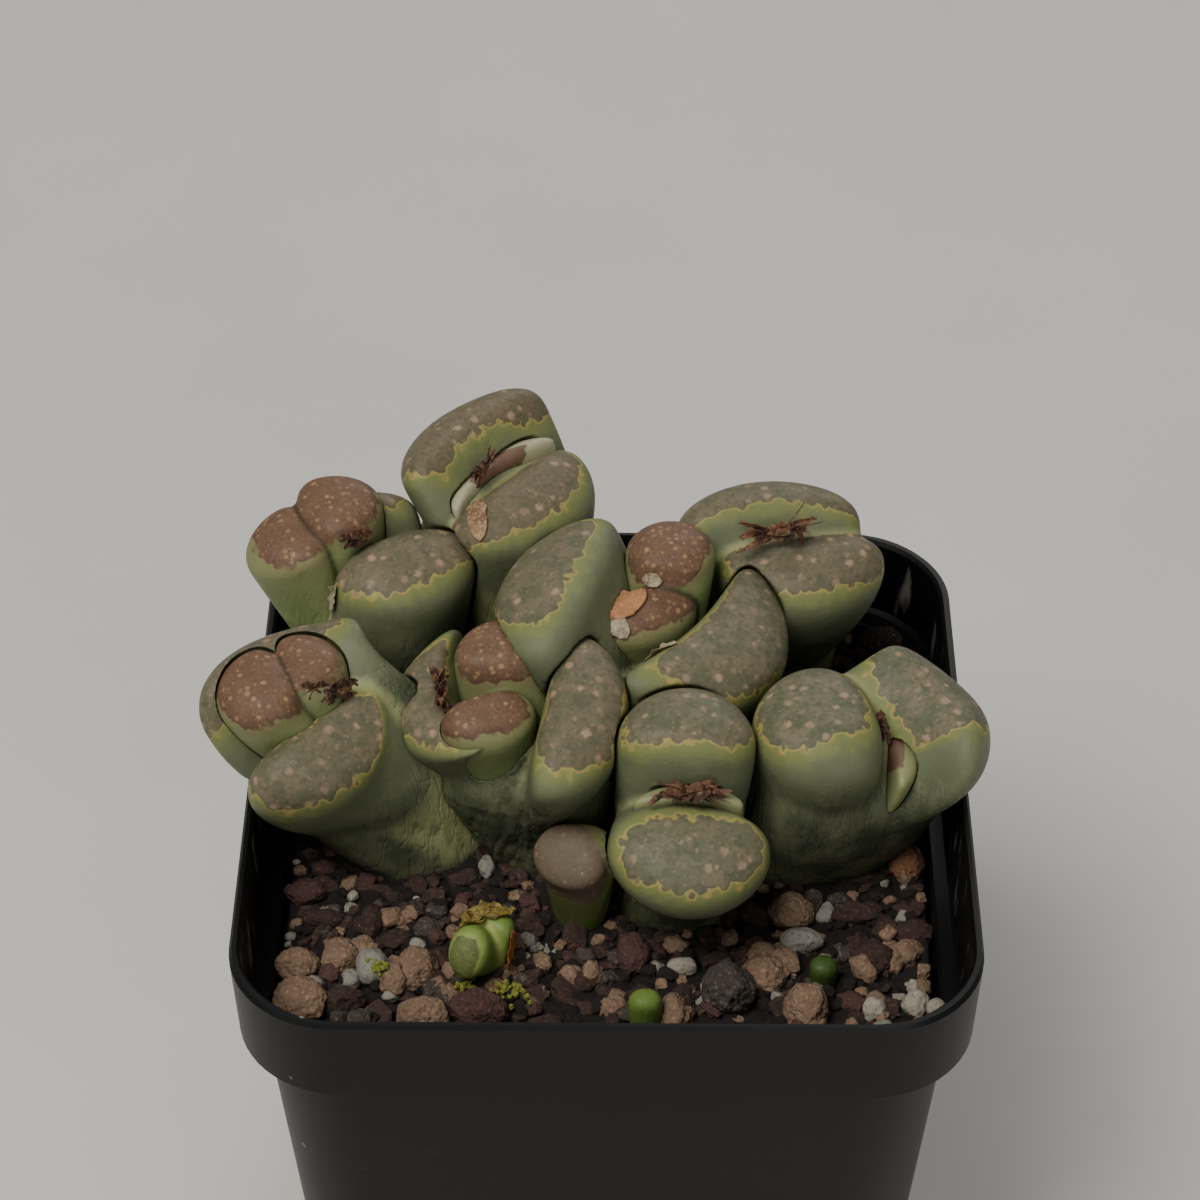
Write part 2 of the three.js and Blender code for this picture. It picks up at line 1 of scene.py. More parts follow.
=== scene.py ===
# %% [markdown]
# # A pot of living stones
# Living stones (Lithops) are desert succulents. Each plant body is one pair of fat leaves,
# joined low down and parted by a fissure. Only the flat top of a leaf lets light in: it is
# a dull, dotted window with a toothed yellow margin, and the sides under it are plain
# grey-green. Old pairs here hold a young pair in their fissure, and withered flowers.
# The scene is dressed over fixed solids: the frame gives the size and the place, and this
# lesson makes the fine surfaces that stand for them.

# %% The frame and the modules
import math
import random
import bpy
import numpy as np
from mathutils import Matrix, Vector, noise
from mathutils.bvhtree import BVHTree


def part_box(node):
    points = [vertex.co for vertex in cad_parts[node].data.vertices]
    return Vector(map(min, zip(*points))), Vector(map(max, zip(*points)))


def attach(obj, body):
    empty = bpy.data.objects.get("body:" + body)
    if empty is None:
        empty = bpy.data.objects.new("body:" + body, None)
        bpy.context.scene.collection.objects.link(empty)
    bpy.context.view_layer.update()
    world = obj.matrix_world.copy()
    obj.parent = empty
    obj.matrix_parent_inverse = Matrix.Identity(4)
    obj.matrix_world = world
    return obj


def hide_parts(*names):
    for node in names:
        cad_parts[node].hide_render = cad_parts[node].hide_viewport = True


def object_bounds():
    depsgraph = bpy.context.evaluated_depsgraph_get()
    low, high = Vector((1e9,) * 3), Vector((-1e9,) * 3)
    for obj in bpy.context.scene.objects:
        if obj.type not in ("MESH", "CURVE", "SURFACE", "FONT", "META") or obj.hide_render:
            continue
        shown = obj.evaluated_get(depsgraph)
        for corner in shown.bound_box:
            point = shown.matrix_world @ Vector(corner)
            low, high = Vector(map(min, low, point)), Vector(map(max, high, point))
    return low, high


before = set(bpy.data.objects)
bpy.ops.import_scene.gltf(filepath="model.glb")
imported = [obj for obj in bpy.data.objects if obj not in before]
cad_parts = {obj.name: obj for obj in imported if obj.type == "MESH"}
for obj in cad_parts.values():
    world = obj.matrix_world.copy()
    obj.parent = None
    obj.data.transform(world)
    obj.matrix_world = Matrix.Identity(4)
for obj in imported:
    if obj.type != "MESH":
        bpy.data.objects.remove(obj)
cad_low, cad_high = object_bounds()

MM = 0.001
print("solid nodes:", len(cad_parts), "height", round(cad_high.z / MM, 1), "mm")

# %% [markdown]
# ## Camera, floor and light
# The photograph looks down at the pot at about 41 degrees from half a metre away, through
# a long lens, so the rim's sides hardly converge. The camera is built from three upright
# axes instead of being aimed by hand, because the pot's rim then lands where it should.
# A pale floor and three large soft lamps give the plain light of a studio.

# %% Camera
ELEVATION, YAW, DISTANCE = math.radians(41.1), math.radians(0.45), 476 * MM
TARGET = Vector((-1.24, 30.8, 80.0)) * MM
back = Vector((math.sin(YAW) * math.cos(ELEVATION), -math.cos(YAW) * math.cos(ELEVATION), math.sin(ELEVATION)))
right = Vector((math.cos(YAW), math.sin(YAW), 0))
up = back.cross(right)


def only_object_mode():
    """Leaves edit mode and deselects everything, so that an operator acts on nothing by chance."""
    if bpy.context.object and bpy.context.object.mode != "OBJECT":
        bpy.ops.object.mode_set(mode="OBJECT")
    bpy.ops.object.select_all(action="DESELECT")


only_object_mode()
bpy.ops.object.camera_add()
camera = bpy.context.object
camera.name = "camera"
camera.data.lens, camera.data.sensor_width = 108, 36
camera.data.clip_start, camera.data.clip_end = 0.01, 20
camera.matrix_world = Matrix.Translation(TARGET + back * DISTANCE) @ Matrix((right, up, back)).transposed().to_4x4()
bpy.context.scene.camera = camera
print("camera at", [round(v / MM) for v in camera.location], "mm")

# %% Floor
only_object_mode()
bpy.ops.mesh.primitive_plane_add(size=4, location=(0, 0, 0))
floor = bpy.context.object
floor.name = "floor"
print("floor", floor.dimensions.x, "m wide")

# %% Lamps


def softbox(name, place, watts, size, colour):
    """A large square lamp that looks at the plants."""
    only_object_mode()
    bpy.ops.object.light_add(type="AREA", location=place)
    lamp = bpy.context.object
    lamp.name = name
    lamp.data.energy, lamp.data.size, lamp.data.color = watts, size, colour
    aim = Vector((0, 0, 0.08)) - Vector(place)
    lamp.rotation_euler = aim.to_track_quat("-Z", "Y").to_euler()
    return lamp


softbox("key_lamp", (-0.28, -0.24, 0.80), 6.0, 0.45, (1.0, 0.96, 0.90))
softbox("fill_lamp", (0.35, -0.9, 0.42), 2.3, 0.60, (1.0, 0.98, 0.95))
softbox("back_lamp", (0.2, 0.8, 0.55), 2.4, 0.50, (1.0, 0.98, 0.95))
world = bpy.data.worlds.new("studio")
world.use_nodes = True
world.node_tree.nodes["Background"].inputs["Color"].default_value = (0.80, 0.81, 0.83, 1)
world.node_tree.nodes["Background"].inputs["Strength"].default_value = 0.22
bpy.context.scene.world = world

# %% [markdown]
# ## Helpers for materials
# Colours are written as the sRGB hex values that one would pick on a screen, and one
# function turns them to the linear values that a shader wants. Another adds any node with
# its settings and links, so that a material reads as a short list.

# %% Colour and node helpers


def hexed(text):
    """An sRGB hex colour as linear red, green, blue and alpha."""
    values = [int(text[i:i + 2], 16) / 255 for i in (0, 2, 4)]
    return tuple(v / 12.92 if v <= 0.04045 else ((v + 0.055) / 1.055) ** 2.4 for v in values) + (1.0,)


def add(tree, kind, inputs=None, **settings):
    """Adds a node, sets its properties, and sets or links each named input."""
    made = tree.nodes.new(kind)
    for key, value in settings.items():
        setattr(made, key, value)
    for key, value in (inputs or {}).items():
        socket = made.inputs[key]
        if isinstance(value, bpy.types.NodeSocket):
            tree.links.new(value, socket)
        else:
            socket.default_value = value
    return made


def fresh(name):
    """An empty material with its output, and the object's own coordinates in metres."""
    material = bpy.data.materials.new(name)
    material.use_nodes = True
    tree = material.node_tree
    tree.nodes.clear()
    where = add(tree, "ShaderNodeTexCoord").outputs["Object"]
    return material, tree, where


def finish(tree, colour, rough, normal=None, **sockets):
    """Ends a material in one Principled shader."""
    inputs = {"Base Color": colour, "Roughness": rough}
    if normal is not None:
        inputs["Normal"] = normal
    inputs.update({key.replace("_", " "): value for key, value in sockets.items()})
    shader = add(tree, "ShaderNodeBsdfPrincipled", inputs)
    add(tree, "ShaderNodeOutputMaterial", {"Surface": shader.outputs["BSDF"]})
    return shader


def per_mm(size):
    """The texture scale that gives features about this many millimetres across."""
    return 1 / (size * MM)


def ramp(tree, value, low, high, to_low=0.0, to_high=1.0):
    """A value eased from one range to another."""
    return add(tree, "ShaderNodeMapRange", {
        "Value": value, "From Min": low, "From Max": high, "To Min": to_low, "To Max": to_high,
    }, interpolation_type="SMOOTHSTEP").outputs["Result"]


def mix(tree, factor, first, second):
    """Two colours mixed by a factor."""
    made = add(tree, "ShaderNodeMix", data_type="RGBA")
    for socket, value in zip((made.inputs[0], made.inputs[6], made.inputs[7]), (factor, first, second)):
        if isinstance(value, bpy.types.NodeSocket):
            tree.links.new(value, socket)
        else:
            socket.default_value = value
    return made.outputs[2]


def calc(tree, operation, first, second=0.0, third=0.0):
    """One arithmetic step."""
    return add(tree, "ShaderNodeMath", {0: first, 1: second, 2: third}, operation=operation).outputs[0]


def grain(tree, where, size, detail=2.0, kind="ShaderNodeTexNoise", output=0, **inputs):
    """A noise or cell pattern whose features are about this many millimetres across."""
    given = {"Vector": where, "Scale": per_mm(size)}
    if kind == "ShaderNodeTexNoise":
        given["Detail"] = detail
    given.update(inputs)
    return add(tree, kind, given).outputs[output]


print("a middle grey is", round(hexed("808080")[0], 3), "linear")

# %% [markdown]
# ## Studio floor
# A plain matt board. A faint mottle keeps it from looking like a flat fill.

# %% Floor material
board, tree, where = fresh("matt_studio_board")
tint = mix(tree, grain(tree, where, 40), hexed("D3D1CC"), hexed("DBD9D5"))
finish(tree, tint, 0.9)
floor.data.materials.append(board)
print("floor board done")

# %% [markdown]
# ## The plant bodies: their table
# A leaf is described as a gardener would: where the middle of its face is, which way it
# leans, how long it is along the fissure and how far it reaches to either side. A curved
# line, the spine, runs from that face down to the root. Such numbers made the solids too,
# so each fine body lies where its solid does. `window` gives how far the dotted window
# reaches over the dome, as shares of the dome's own reach: inwards, outwards, and
# towards either end.

# %% Leaf table
RIM, SOIL = 80.0, 67.0                   # heights of the rim and of the soil, in mm
GAP, SNUG = 0.3, 0.12                    # clear space between neighbours, and round a young pair, in mm
SKIN = 0.45                              # mm of old skin over a young pair that has dried away
CAP_POWER, RING_POWER, STUMP_POWER = 2.5, 2.05, 2.8
SLIM_POWER, PULL = 1.75, 0.42
PAST_EDGE = 12.0                         # mm that a window share of 2 would go past the dome's edge
ROOT_DEPTH, LEAF_DEPTH, YOUNG_DEPTH, LEAF_WAIST = 7.0, -1.0, -3.0, 0.85


def leaf(x, y, z, out, tilt, half, outer, inner, bend, cap, window=(0.8, 0.85, 0.85, 0.85), **more):
    """One leaf; x, y and z are the middle of its face, from the pot's axis and the rim."""
    return dict(top=(x, y, z), out=out, tilt=tilt, half=half, outer=outer, inner=inner,
                bend=bend, cap=cap, window=window, **more)


def pair(name, root, waist, web, leaves, young=None, **more):
    """One plant body: its leaves, and the young body that stands in its fissure."""
    return dict(name=name, root=root, waist=waist, web=web, leaves=leaves, young=young, **more)


NONE = None                              # a seedling without a window
CLOSED = ("front", "right", "back")      # fissures that show only the pale lip of the next pair
PAIRS = [
    pair("front", (8.3, -8), 8, 12, [
        leaf(9.7, -6.7, 14.8, 90, 2, 8.6, 7.8, 5.5, 1.0, 5, (0.80, 1.0, 0.92, 0.92)),
        leaf(10.0, -23.3, 6.0, -90, 26, 10.0, 6.5, 7.3, 1.5, 5, (0.78, 0.62, 0.84, 0.92)),
    ], dict(root=(9.5, -10), waist=3, leaves=[
        leaf(9.9, -12.7, 7.6, 90, 8, 6.8, 1.7, 1.6, 1.5, 1.4, (0.9, 0.05, 0.7, 0.7))]), tone=0.1, folds=1.0),
    pair("left", (-22.5, 1.5), 8, 11, [
        leaf(-43.6, 8.0, 13.0, 124, 34, 12.0, 5.6, 5.0, 3.2, 5.5, (0.90, 1.15, 0.82, 1.0)),
        leaf(-34.0, -9.0, 9.5, -52, 30, 10.6, 5.4, 6.0, 2.5, 5.5, (0.80, 0.84, 0.92, 0.92)),
    ], dict(root=(-30, 1), waist=4.5, leaves=[
        leaf(-44.2, -0.9, 14.9, 200, 14, 6.7, 5.5, 4.5, 1.0, 4, (1.06, 0.85, 0.80, 0.98)),
        leaf(-37.4, 3.1, 15.4, 20, 0, 6.3, 4.8, 4.0, 1.0, 4, (1.06, 0.84, 0.85, 0.85))]), tone=0.25, folds=0.2),
    pair("mid_left", (-6.8, -2), 4.8, 9.5, [
        leaf(-23.5, 1.5, 9.8, 190, 16, 12.6, 5.5, 3.5, 6.0, 5, (0.9, 0.72, 0.68, 0.74), roll=-6),
        leaf(-3.2, -5.0, 14.5, -10, 8, 12.6, 6.3, 4.5, 2.0, 4.5, (0.95, 0.90, 0.78, 0.92), roll=12),
    ], dict(root=(-10, -1), waist=3.6, leaves=[
        leaf(-13.5, 5.5, 15.5, 92, 4, 5.8, 6.5, 4.0, 0.5, 3, (1.04, 0.84, 0.9, 0.95)),
        leaf(-14.5, -5.0, 12.5, -75, 24, 6.0, 4.2, 4.0, 0.5, 3.5, (1.04, 0.55, 0.95, 0.8))]),
         webSize=0.6, slim=1.15, tone=0.3, folds=1.6),
    pair("right", (24, 1.5), 8, 9, [
        leaf(25.0, -5.0, 13.8, 197, 6, 9.5, 7.6, 8.2, 1.5, 5.5, (0.84, 0.88, 0.95, 0.56)),
        leaf(44.8, 1.4, 10.0, 25, 42, 11.0, 5.6, 5.4, 3.5, 6, (1.15, 1.0, 0.52, 1.15), pull=0.34),
    ], dict(root=(31, 0), waist=3, leaves=[
        leaf(36.5, -2.0, 6.8, 17, 14, 8.0, 2.2, 2.0, 2.5, 1.6, (1.3, 0.05, 0.7, 0.8))]), webSize=1.0, tone=0.0, folds=0.3),
    pair("centre", (4, 12), 7.5, 13, [
        leaf(-8.5, 15.2, 18.8, 164, 16, 14.0, 7.0, 7.0, 2.5, 4.5, (0.56, 0.94, 0.86, 0.70)),
        leaf(15.3, 8.0, 14.5, -34, 12, 14.6, 8.0, 5.0, 5.0, 5, (0.75, 0.92, 0.76, 0.98)),
    ], dict(root=(4, 13), waist=4.5, leaves=[
        leaf(8.0, 22.5, 18.4, 80, 6, 5.7, 5.8, 5.0, 0.5, 3.2, (1.15, 0.9, 0.85, 0.95)),
        leaf(5.5, 13.2, 14.1, -60, 20, 7.0, 4.2, 4.0, 0.5, 3.5, (1.04, 0.62, 0.95, 0.9))]), tone=0.15, folds=0.3),
    pair("back_left", (-28, 20), 8, 12, [
        leaf(-25.3, 21.0, 16.0, -60, 12, 9.6, 7.0, 6.0, 1.0, 5, (1.0, 0.62, 0.98, 1.02)),
        leaf(-35.0, 32.0, 16.0, 118, 20, 9.5, 5.0, 4.0, 2.0, 5, (0.85, 0.8, 0.8, 0.8)),
    ], dict(root=(-33, 23), waist=5, leaves=[
        leaf(-42.3, 25.5, 16.0, 205, 20, 6.2, 6.0, 5.0, 1.0, 3.5, (1.05, 0.6, 0.9, 0.9)),
        leaf(-35.0, 29.5, 19.3, 25, 0, 6.4, 5.8, 5.0, 1.0, 3.5, (1.05, 0.84, 0.95, 0.95))]), tone=0.35, folds=0.3),
    pair("back_right", (20.5, 29), 7.5, 12, [
        leaf(20.0, 33.5, 17.3, 98, 20, 12.2, 6.5, 5.5, 2.5, 5.5, (0.66, 1.2, 1.0, 1.0)),
        leaf(25.7, 22.0, 14.3, -78, 12, 11.2, 6.5, 6.0, 2.5, 5.5, (0.85, 0.66, 0.90, 1.0))], tone=0.35, folds=0.3),
    pair("back", (-9, 30), 8.5, 12, [
        leaf(-21.3, 43.2, 21.2, 140, 34, 12.8, 6.0, 5.0, 3.0, 5.5, (0.95, 1.3, 1.1, 0.93)),
        leaf(-9.4, 31.2, 18.4, -40, 14, 11.8, 7.0, 5.5, 2.5, 5, (0.86, 0.56, 1.0, 0.84)),
    ], dict(root=(-11, 32), waist=3, leaves=[
        leaf(-16.3, 37.9, 18.0, 140, 10, 9.8, 2.2, 2.0, 3.2, 1.6, (1.3, 0.05, 0.6, 0.5))]), tone=0.6, folds=0.3),
]
SEEDLINGS = [
    dict(name="seedling_round", root=(-3.5, -13.5), waist=2.6, depth=3, leaves=[
        leaf(-5.2, -16.0, -0.6, -120, 40, 4.9, 3.9, 4.2, 0, 2.4, (1.3, 1.3, 1.3, 1.3)),
        leaf(-1.8, -13.0, 0.6, 60, 10, 4.2, 2.2, 1.8, 1, 2, (0.3, 0.3, 0.3, 0.3))], tone=0.7),
    dict(name="seedling_torn", root=(-14.5, -21.5), waist=1.9, depth=3, leaves=[
        leaf(-17.2, -26.8, -6.6, -110, 50, 2.6, 3.4, 3.2, 0, 2, (0.6, 0.95, 0.8, 0.7)),
        leaf(-13.6, -20.2, -6.4, 60, 25, 3.2, 2.6, 2.2, 1, 2, (0.2, 0.2, 0.2, 0.2))], tone=0.0),
    dict(name="seedling_front", root=(4.8, -32.2), waist=1.5, depth=3, leaves=[
        leaf(4.7, -32.2, -8.0, 90, 0, 2.1, 1.8, 1.8, 0, 1.8, NONE)], tone=0.0),
    dict(name="seedling_right", root=(26.6, -24.6), waist=1.4, depth=3, leaves=[
        leaf(26.6, -24.8, -9.8, 90, 0, 1.8, 1.7, 1.7, 0, 1.6, NONE)], tone=0.0),
]
print("bodies:", len(PAIRS), "old,", sum(1 for p in PAIRS if p["young"]), "young,", len(SEEDLINGS), "seedlings")

# %% [markdown]
# ## The plant bodies: how a leaf is shaped
# A leaf could be sculpted, but twenty-six of them have to fit the photograph and each
# other. So each starts as a sphere: its rings are laid along the spine, the first half of
# them make the domed face, and the rest narrow down to the root. Squared sines keep the
# face flat and its edge round, as on a full, juicy leaf.

# %% The spine


def bearing(degrees):
    """A level direction, anticlockwise from +X."""
    return np.array([math.cos(math.radians(degrees)), math.sin(math.radians(degrees)), 0.0])


def turned(vector, axis, degrees):
    """A vector turned about an axis."""
    return np.array(Matrix.Rotation(math.radians(degrees), 3, Vector(axis)) @ Vector(vector))


def squared(value, power):
    """A sine or cosine raised so that the curve it draws is squarer."""
    return np.sign(value) * np.abs(value) ** (2 / power)


UP = np.array([0.0, 0.0, 1.0])


def spine_of(shape, body, grow):
    """Points and lengths along the line from the middle of the face to the root."""
    out = bearing(shape["out"])
    along = np.cross(UP, out)
    normal = turned(turned(UP, along, shape["tilt"]), out, shape.get("roll", 0))
    top = np.array(shape["top"]) + (0, 0, RIM) + normal * grow
    foot = np.array([*body["root"], SOIL - shape.get("depth", body.get("depth", 0)) - grow])
    pull = np.linalg.norm(top - foot) * shape.get("pull", PULL)
    a, b, c, d = top, top - normal * pull, foot + UP * pull, foot
    t = np.linspace(0, 1, 401)[:, None]
    line = (1 - t) ** 3 * a + 3 * (1 - t) ** 2 * t * b + 3 * (1 - t) * t * t * c + t ** 3 * d
    steps = np.linalg.norm(np.diff(line, axis=0), axis=1)
    return line, np.concatenate([[0], np.cumsum(steps)])


def on_spine(line, lengths, depth):
    """The spine's point at a depth, and its direction there, upwards."""
    point = [np.array([np.interp(d, lengths, line[:, i]) for i in range(3)])
             for d in (depth, max(depth - 0.2, 0), min(depth + 0.2, lengths[-1]))]
    axis = point[1] - point[2]
    return point[0], axis / np.linalg.norm(axis)


# %% The rings


def leaf_rings(shape, body, grow, around, rings):
    """Rings of points down a leaf, and for each how far it is inside the window's edge, in mm."""
    out = bearing(shape["out"])
    line, lengths = spine_of(shape, body, grow)
    length, cap = lengths[-1], shape["cap"] + grow
    waist, power = shape.get("waist", body["waist"]), shape.get("power", RING_POWER)
    turn = np.arange(around) / around * 2 * math.pi
    across, away_share = squared(np.cos(turn), power), squared(np.sin(turn), power)
    reach = np.where(np.sin(turn) >= 0, shape["outer"], shape["inner"])
    caps, points, spreads = rings // 2, [], []
    for ring in range(rings + 1):
        lift = min(ring, caps) / caps * math.pi / 2
        share = min(max((ring - caps) / (rings - 1 - caps), 0), 1)
        spread = 0.0 if ring == rings else float(squared(math.sin(lift), CAP_POWER))
        dome = cap * (1 - float(squared(max(math.cos(lift), 0), CAP_POWER)))
        depth = min(max(dome + (length - cap) * share, 0), length)
        slim = share ** body.get("slim", SLIM_POWER)
        middle, axis = on_spine(line, lengths, depth)
        away = out - axis * out.dot(axis)
        away /= np.linalg.norm(away)
        side = np.cross(axis, away)
        u = across * spread * (shape["half"] + (waist - shape["half"]) * slim + grow)
        v = away_share * spread * (reach + (waist - reach) * slim + grow)
        v = v - shape["bend"] * (1 - slim) * np.cos(turn) ** 2 * spread
        points.append(middle + np.outer(u, side) + np.outer(v, away))
        spreads.append(spread)
    points = np.array(points)
    return points, window_depth(shape, points, np.array(spreads[:caps + 1]), across, away_share)


def window_depth(shape, points, spreads, across, away_share):
    """How far each point of a leaf is inside its window's edge, along the skin, in mm."""
    steps = np.linalg.norm(np.diff(points, axis=0), axis=2)
    down = np.concatenate([np.zeros((1, points.shape[1])), np.cumsum(steps, axis=0)])
    if not shape.get("window"):
        return -6.0 - down
    inwards, outwards, low_end, high_end = shape["window"]
    wide = np.where(across < 0, low_end, high_end)
    deep = np.where(away_share < 0, inwards, outwards)
    edge = ((np.abs(across) / wide) ** 2.5 + (np.abs(away_share) / deep) ** 2.5) ** (-1 / 2.5)
    at_edge = np.array([np.interp(edge[k], spreads, down[:len(spreads), k]) for k in range(len(edge))])
    return at_edge + np.maximum(edge - 1, 0) * PAST_EDGE - down


# %% A sphere laid on those rings


def leaf_sphere(name, shape, body, grow=0.0, around=64, rings=44):
    """A sphere primitive whose rings are moved to the leaf's. Each vertex keeps its window depth."""
    only_object_mode()
    bpy.ops.mesh.primitive_uv_sphere_add(segments=around, ring_count=rings, radius=1)
    ball = bpy.context.object
    ball.name = name
    co = np.empty(len(ball.data.vertices) * 3)
    ball.data.vertices.foreach_get("co", co)
    co = co.reshape(-1, 3)
    ring = np.rint(np.arccos(np.clip(co[:, 2], -1, 1)) / math.pi * rings).astype(int)
    slot = np.rint(np.arctan2(co[:, 1], co[:, 0]) / (2 * math.pi) * around).astype(int) % around
    points, inside = leaf_rings(shape, body, grow, around, rings)
    ball.data.vertices.foreach_set("co", (points[ring, slot] * MM).astype(np.float32).ravel())
    depth = ball.data.attributes.new("inside", "FLOAT", "POINT")
    depth.data.foreach_set("value", inside[ring, slot].astype(np.float32))
    ball.data.update()
    bpy.ops.object.mode_set(mode="EDIT")
    bpy.ops.mesh.select_all(action="SELECT")
    bpy.ops.mesh.normals_make_consistent(inside=False)
    bpy.ops.object.mode_set(mode="OBJECT")
    return ball


def stump_shape(body):
    """The joined part of a pair, below its fissure, written as a leaf that points straight up."""
    low = []
    for one in body["leaves"]:
        line, lengths = spine_of({**one, "depth": LEAF_DEPTH}, body, 0)
        low.append(on_spine(line, lengths, body["web"])[0])
    middle, across = (low[0] + low[1]) / 2, low[0] - low[1]
    long = np.linalg.norm(across)
    half = min(one["half"] for one in body["leaves"]) * body.get("webSize", 0.86)
    return dict(
        top=tuple(middle - (0, 0, RIM)), out=math.degrees(math.atan2(across[1], across[0])),
        tilt=-math.degrees(math.asin(across[2] / long)), half=half, bend=0, cap=4.5, power=STUMP_POWER,
        outer=long / 2 + body["leaves"][0]["outer"] * 0.85,
        inner=long / 2 + body["leaves"][1]["outer"] * 0.85, depth=ROOT_DEPTH, window=None,
    )


def body_spheres(name, body, grow=0.0, around=64, rings=44):
    """The leaves of a body, and the stump that joins an old pair."""
    if not body.get("web"):
        return [leaf_sphere(f"{name}_{i}", one, body, grow, around, rings) for i, one in enumerate(body["leaves"])]
    made = [leaf_sphere(f"{name}_{i}", {**one, "depth": LEAF_DEPTH, "waist": body["waist"] * LEAF_WAIST},
                        body, grow, around, rings) for i, one in enumerate(body["leaves"])]
    return made + [leaf_sphere(f"{name}_stump", stump_shape(body), body, grow, around, rings)]


print("a leaf's spine is", round(float(spine_of(PAIRS[0]["leaves"][0], PAIRS[0], 0)[1][-1]), 1), "mm long")

# %% [markdown]
# ## The plant bodies: joining and fitting
# Two leaves and a stump that merely cross would show hard creases. A voxel remesh makes
# one skin of them and smoothing softens the joints, as on a body that grew as one. Then
# each body is cut clear of its neighbours, front to back, because real ones press against
# each other and flatten. A second, finer remesh rounds the cut edges.

# %% Modifier helpers


def modify(piece, kind, **settings):
    """Adds a modifier, sets it up and applies it."""
    only_object_mode()
    piece.select_set(True)
    bpy.context.view_layer.objects.active = piece
    made = piece.modifiers.new(kind.lower(), kind)
    for key, value in settings.items():
        setattr(made, key, value)
    bpy.ops.object.modifier_apply(modifier=made.name)
    return piece


def join(pieces, name):
    """Joins pieces into the first one."""
    only_object_mode()
    for piece in pieces:
        piece.select_set(True)
    bpy.context.view_layer.objects.active = pieces[0]
    if len(pieces) > 1:
        bpy.ops.object.join()
    pieces[0].name = pieces[0].data.name = name
    return pieces[0]


def keep_biggest(piece):
    """Drops every loose scrap that a cut leaves."""
    only_object_mode()
    piece.select_set(True)
    bpy.context.view_layer.objects.active = piece
    bpy.ops.mesh.separate(type="LOOSE")
    parts = sorted(bpy.context.selected_objects, key=lambda o: len(o.data.vertices))
    biggest = parts.pop()
    for scrap in parts:
        bpy.data.objects.remove(scrap)
    biggest.name = piece_name = biggest.name.split(".")[0]
    biggest.data.name = piece_name
    return biggest


def skin_of(piece, voxel, smooth):
    """One even skin over everything in the piece, then smoothed."""
    modify(piece, "REMESH", mode="VOXEL", voxel_size=voxel * MM, adaptivity=0)
    return modify(piece, "SMOOTH", factor=0.5, iterations=smooth)


def points_of(piece):
    """All points of a piece, in metres."""
    points = np.empty(len(piece.data.vertices) * 3, np.float32)
    piece.data.vertices.foreach_get("co", points)
    return points.reshape(-1, 3)


def overlap(a, b):
    """Whether the boxes of two pieces overlap."""
    first, second = points_of(a), points_of(b)
    return bool((first.min(0) < second.max(0)).all() and (second.min(0) < first.max(0)).all())


def cut(piece, cutters):
    """Subtracts each cutter that reaches the piece."""
    for cutter in cutters:
        if overlap(piece, cutter):
            modify(piece, "BOOLEAN", operation="DIFFERENCE", object=cutter, solver="MANIFOLD")
    return piece


def remove(pieces):
    """Deletes helper pieces."""
    for piece in pieces:
        bpy.data.objects.remove(piece)


def paint(piece, material):
    """Gives the whole piece one material."""
    piece.data.materials.clear()
    piece.data.materials.append(material)
    piece.data.polygons.foreach_set("material_index", np.zeros(len(piece.data.polygons), np.int32))


def gathered(pieces):
    """The points and faces of several pieces, for one search tree."""
    points, faces = [], []
    for piece in pieces:
        start = len(points)
        points += [v.co.copy() for v in piece.data.vertices]
        faces += [tuple(start + i for i in f.vertices) for f in piece.data.polygons]
    return points, faces


print("helpers ready")

# %% [markdown]
# ## The pot
# A nursery pot is injection-moulded in black polypropylene: a slightly tapered square body
# with generous round corners, a stepped collar that lets pots nest, and a thin wall. Its
# solid has the right shape but few sides at the corners, so it is modelled again here:
# a cube, its upright edges bevelled, then its top face extruded and scaled up the outside
# and down the inside, ring by ring.

# %% Pot sizes
WIDTH, HEIGHT, CORNER, WALL = 90.0, 80.0, 13.0, 1.2
COLLAR, COLLAR_DRAFT, LEDGE, DRAFT, FLOOR = 12.8, 0.5, 2.6, 0.08, 1.6
collar_low = HEIGHT - COLLAR
collar_foot = WIDTH / 2 - COLLAR_DRAFT
body_high = collar_foot - LEDGE
body_low = body_high - collar_low * DRAFT
shelf = collar_low + WALL
print("half widths:", body_low, body_high, collar_foot, WIDTH / 2)


# %% Pot by extruding rings


def square_block(name, half, low, high, segments=14):
    """A block with round upright corners."""
    only_object_mode()
    bpy.ops.mesh.primitive_cube_add(size=1, location=(0, 0, (low + high) / 2 * MM))
    block = bpy.context.object
    block.name = block.data.name = name
    block.scale = (2 * half * MM, 2 * half * MM, (high - low) * MM)
    bpy.ops.object.transform_apply(location=True, rotation=False, scale=True)
    bpy.ops.object.mode_set(mode="EDIT")
    bpy.ops.mesh.select_mode(type="EDGE")
    bpy.ops.mesh.select_all(action="DESELECT")
    bpy.ops.object.mode_set(mode="OBJECT")
    for edge in block.data.edges:
        a, b = (block.data.vertices[i].co for i in edge.vertices)
        edge.select = abs(a.z - b.z) > 1e-6
    bpy.ops.object.mode_set(mode="EDIT")
    bpy.ops.mesh.bevel(offset=CORNER * half / (WIDTH / 2) * MM, segments=segments, affect="EDGES")
    bpy.ops.object.mode_set(mode="OBJECT")
    return block


def select_faces(piece, test):
    """Selects the faces whose middle and normal pass a test, and leaves edit mode on."""
    bpy.ops.object.mode_set(mode="EDIT")
    bpy.ops.mesh.select_mode(type="FACE")
    bpy.ops.mesh.select_all(action="DESELECT")
    bpy.ops.object.mode_set(mode="OBJECT")
    for face in piece.data.polygons:
        face.select = test(face.center, face.normal)
    bpy.ops.object.mode_set(mode="EDIT")


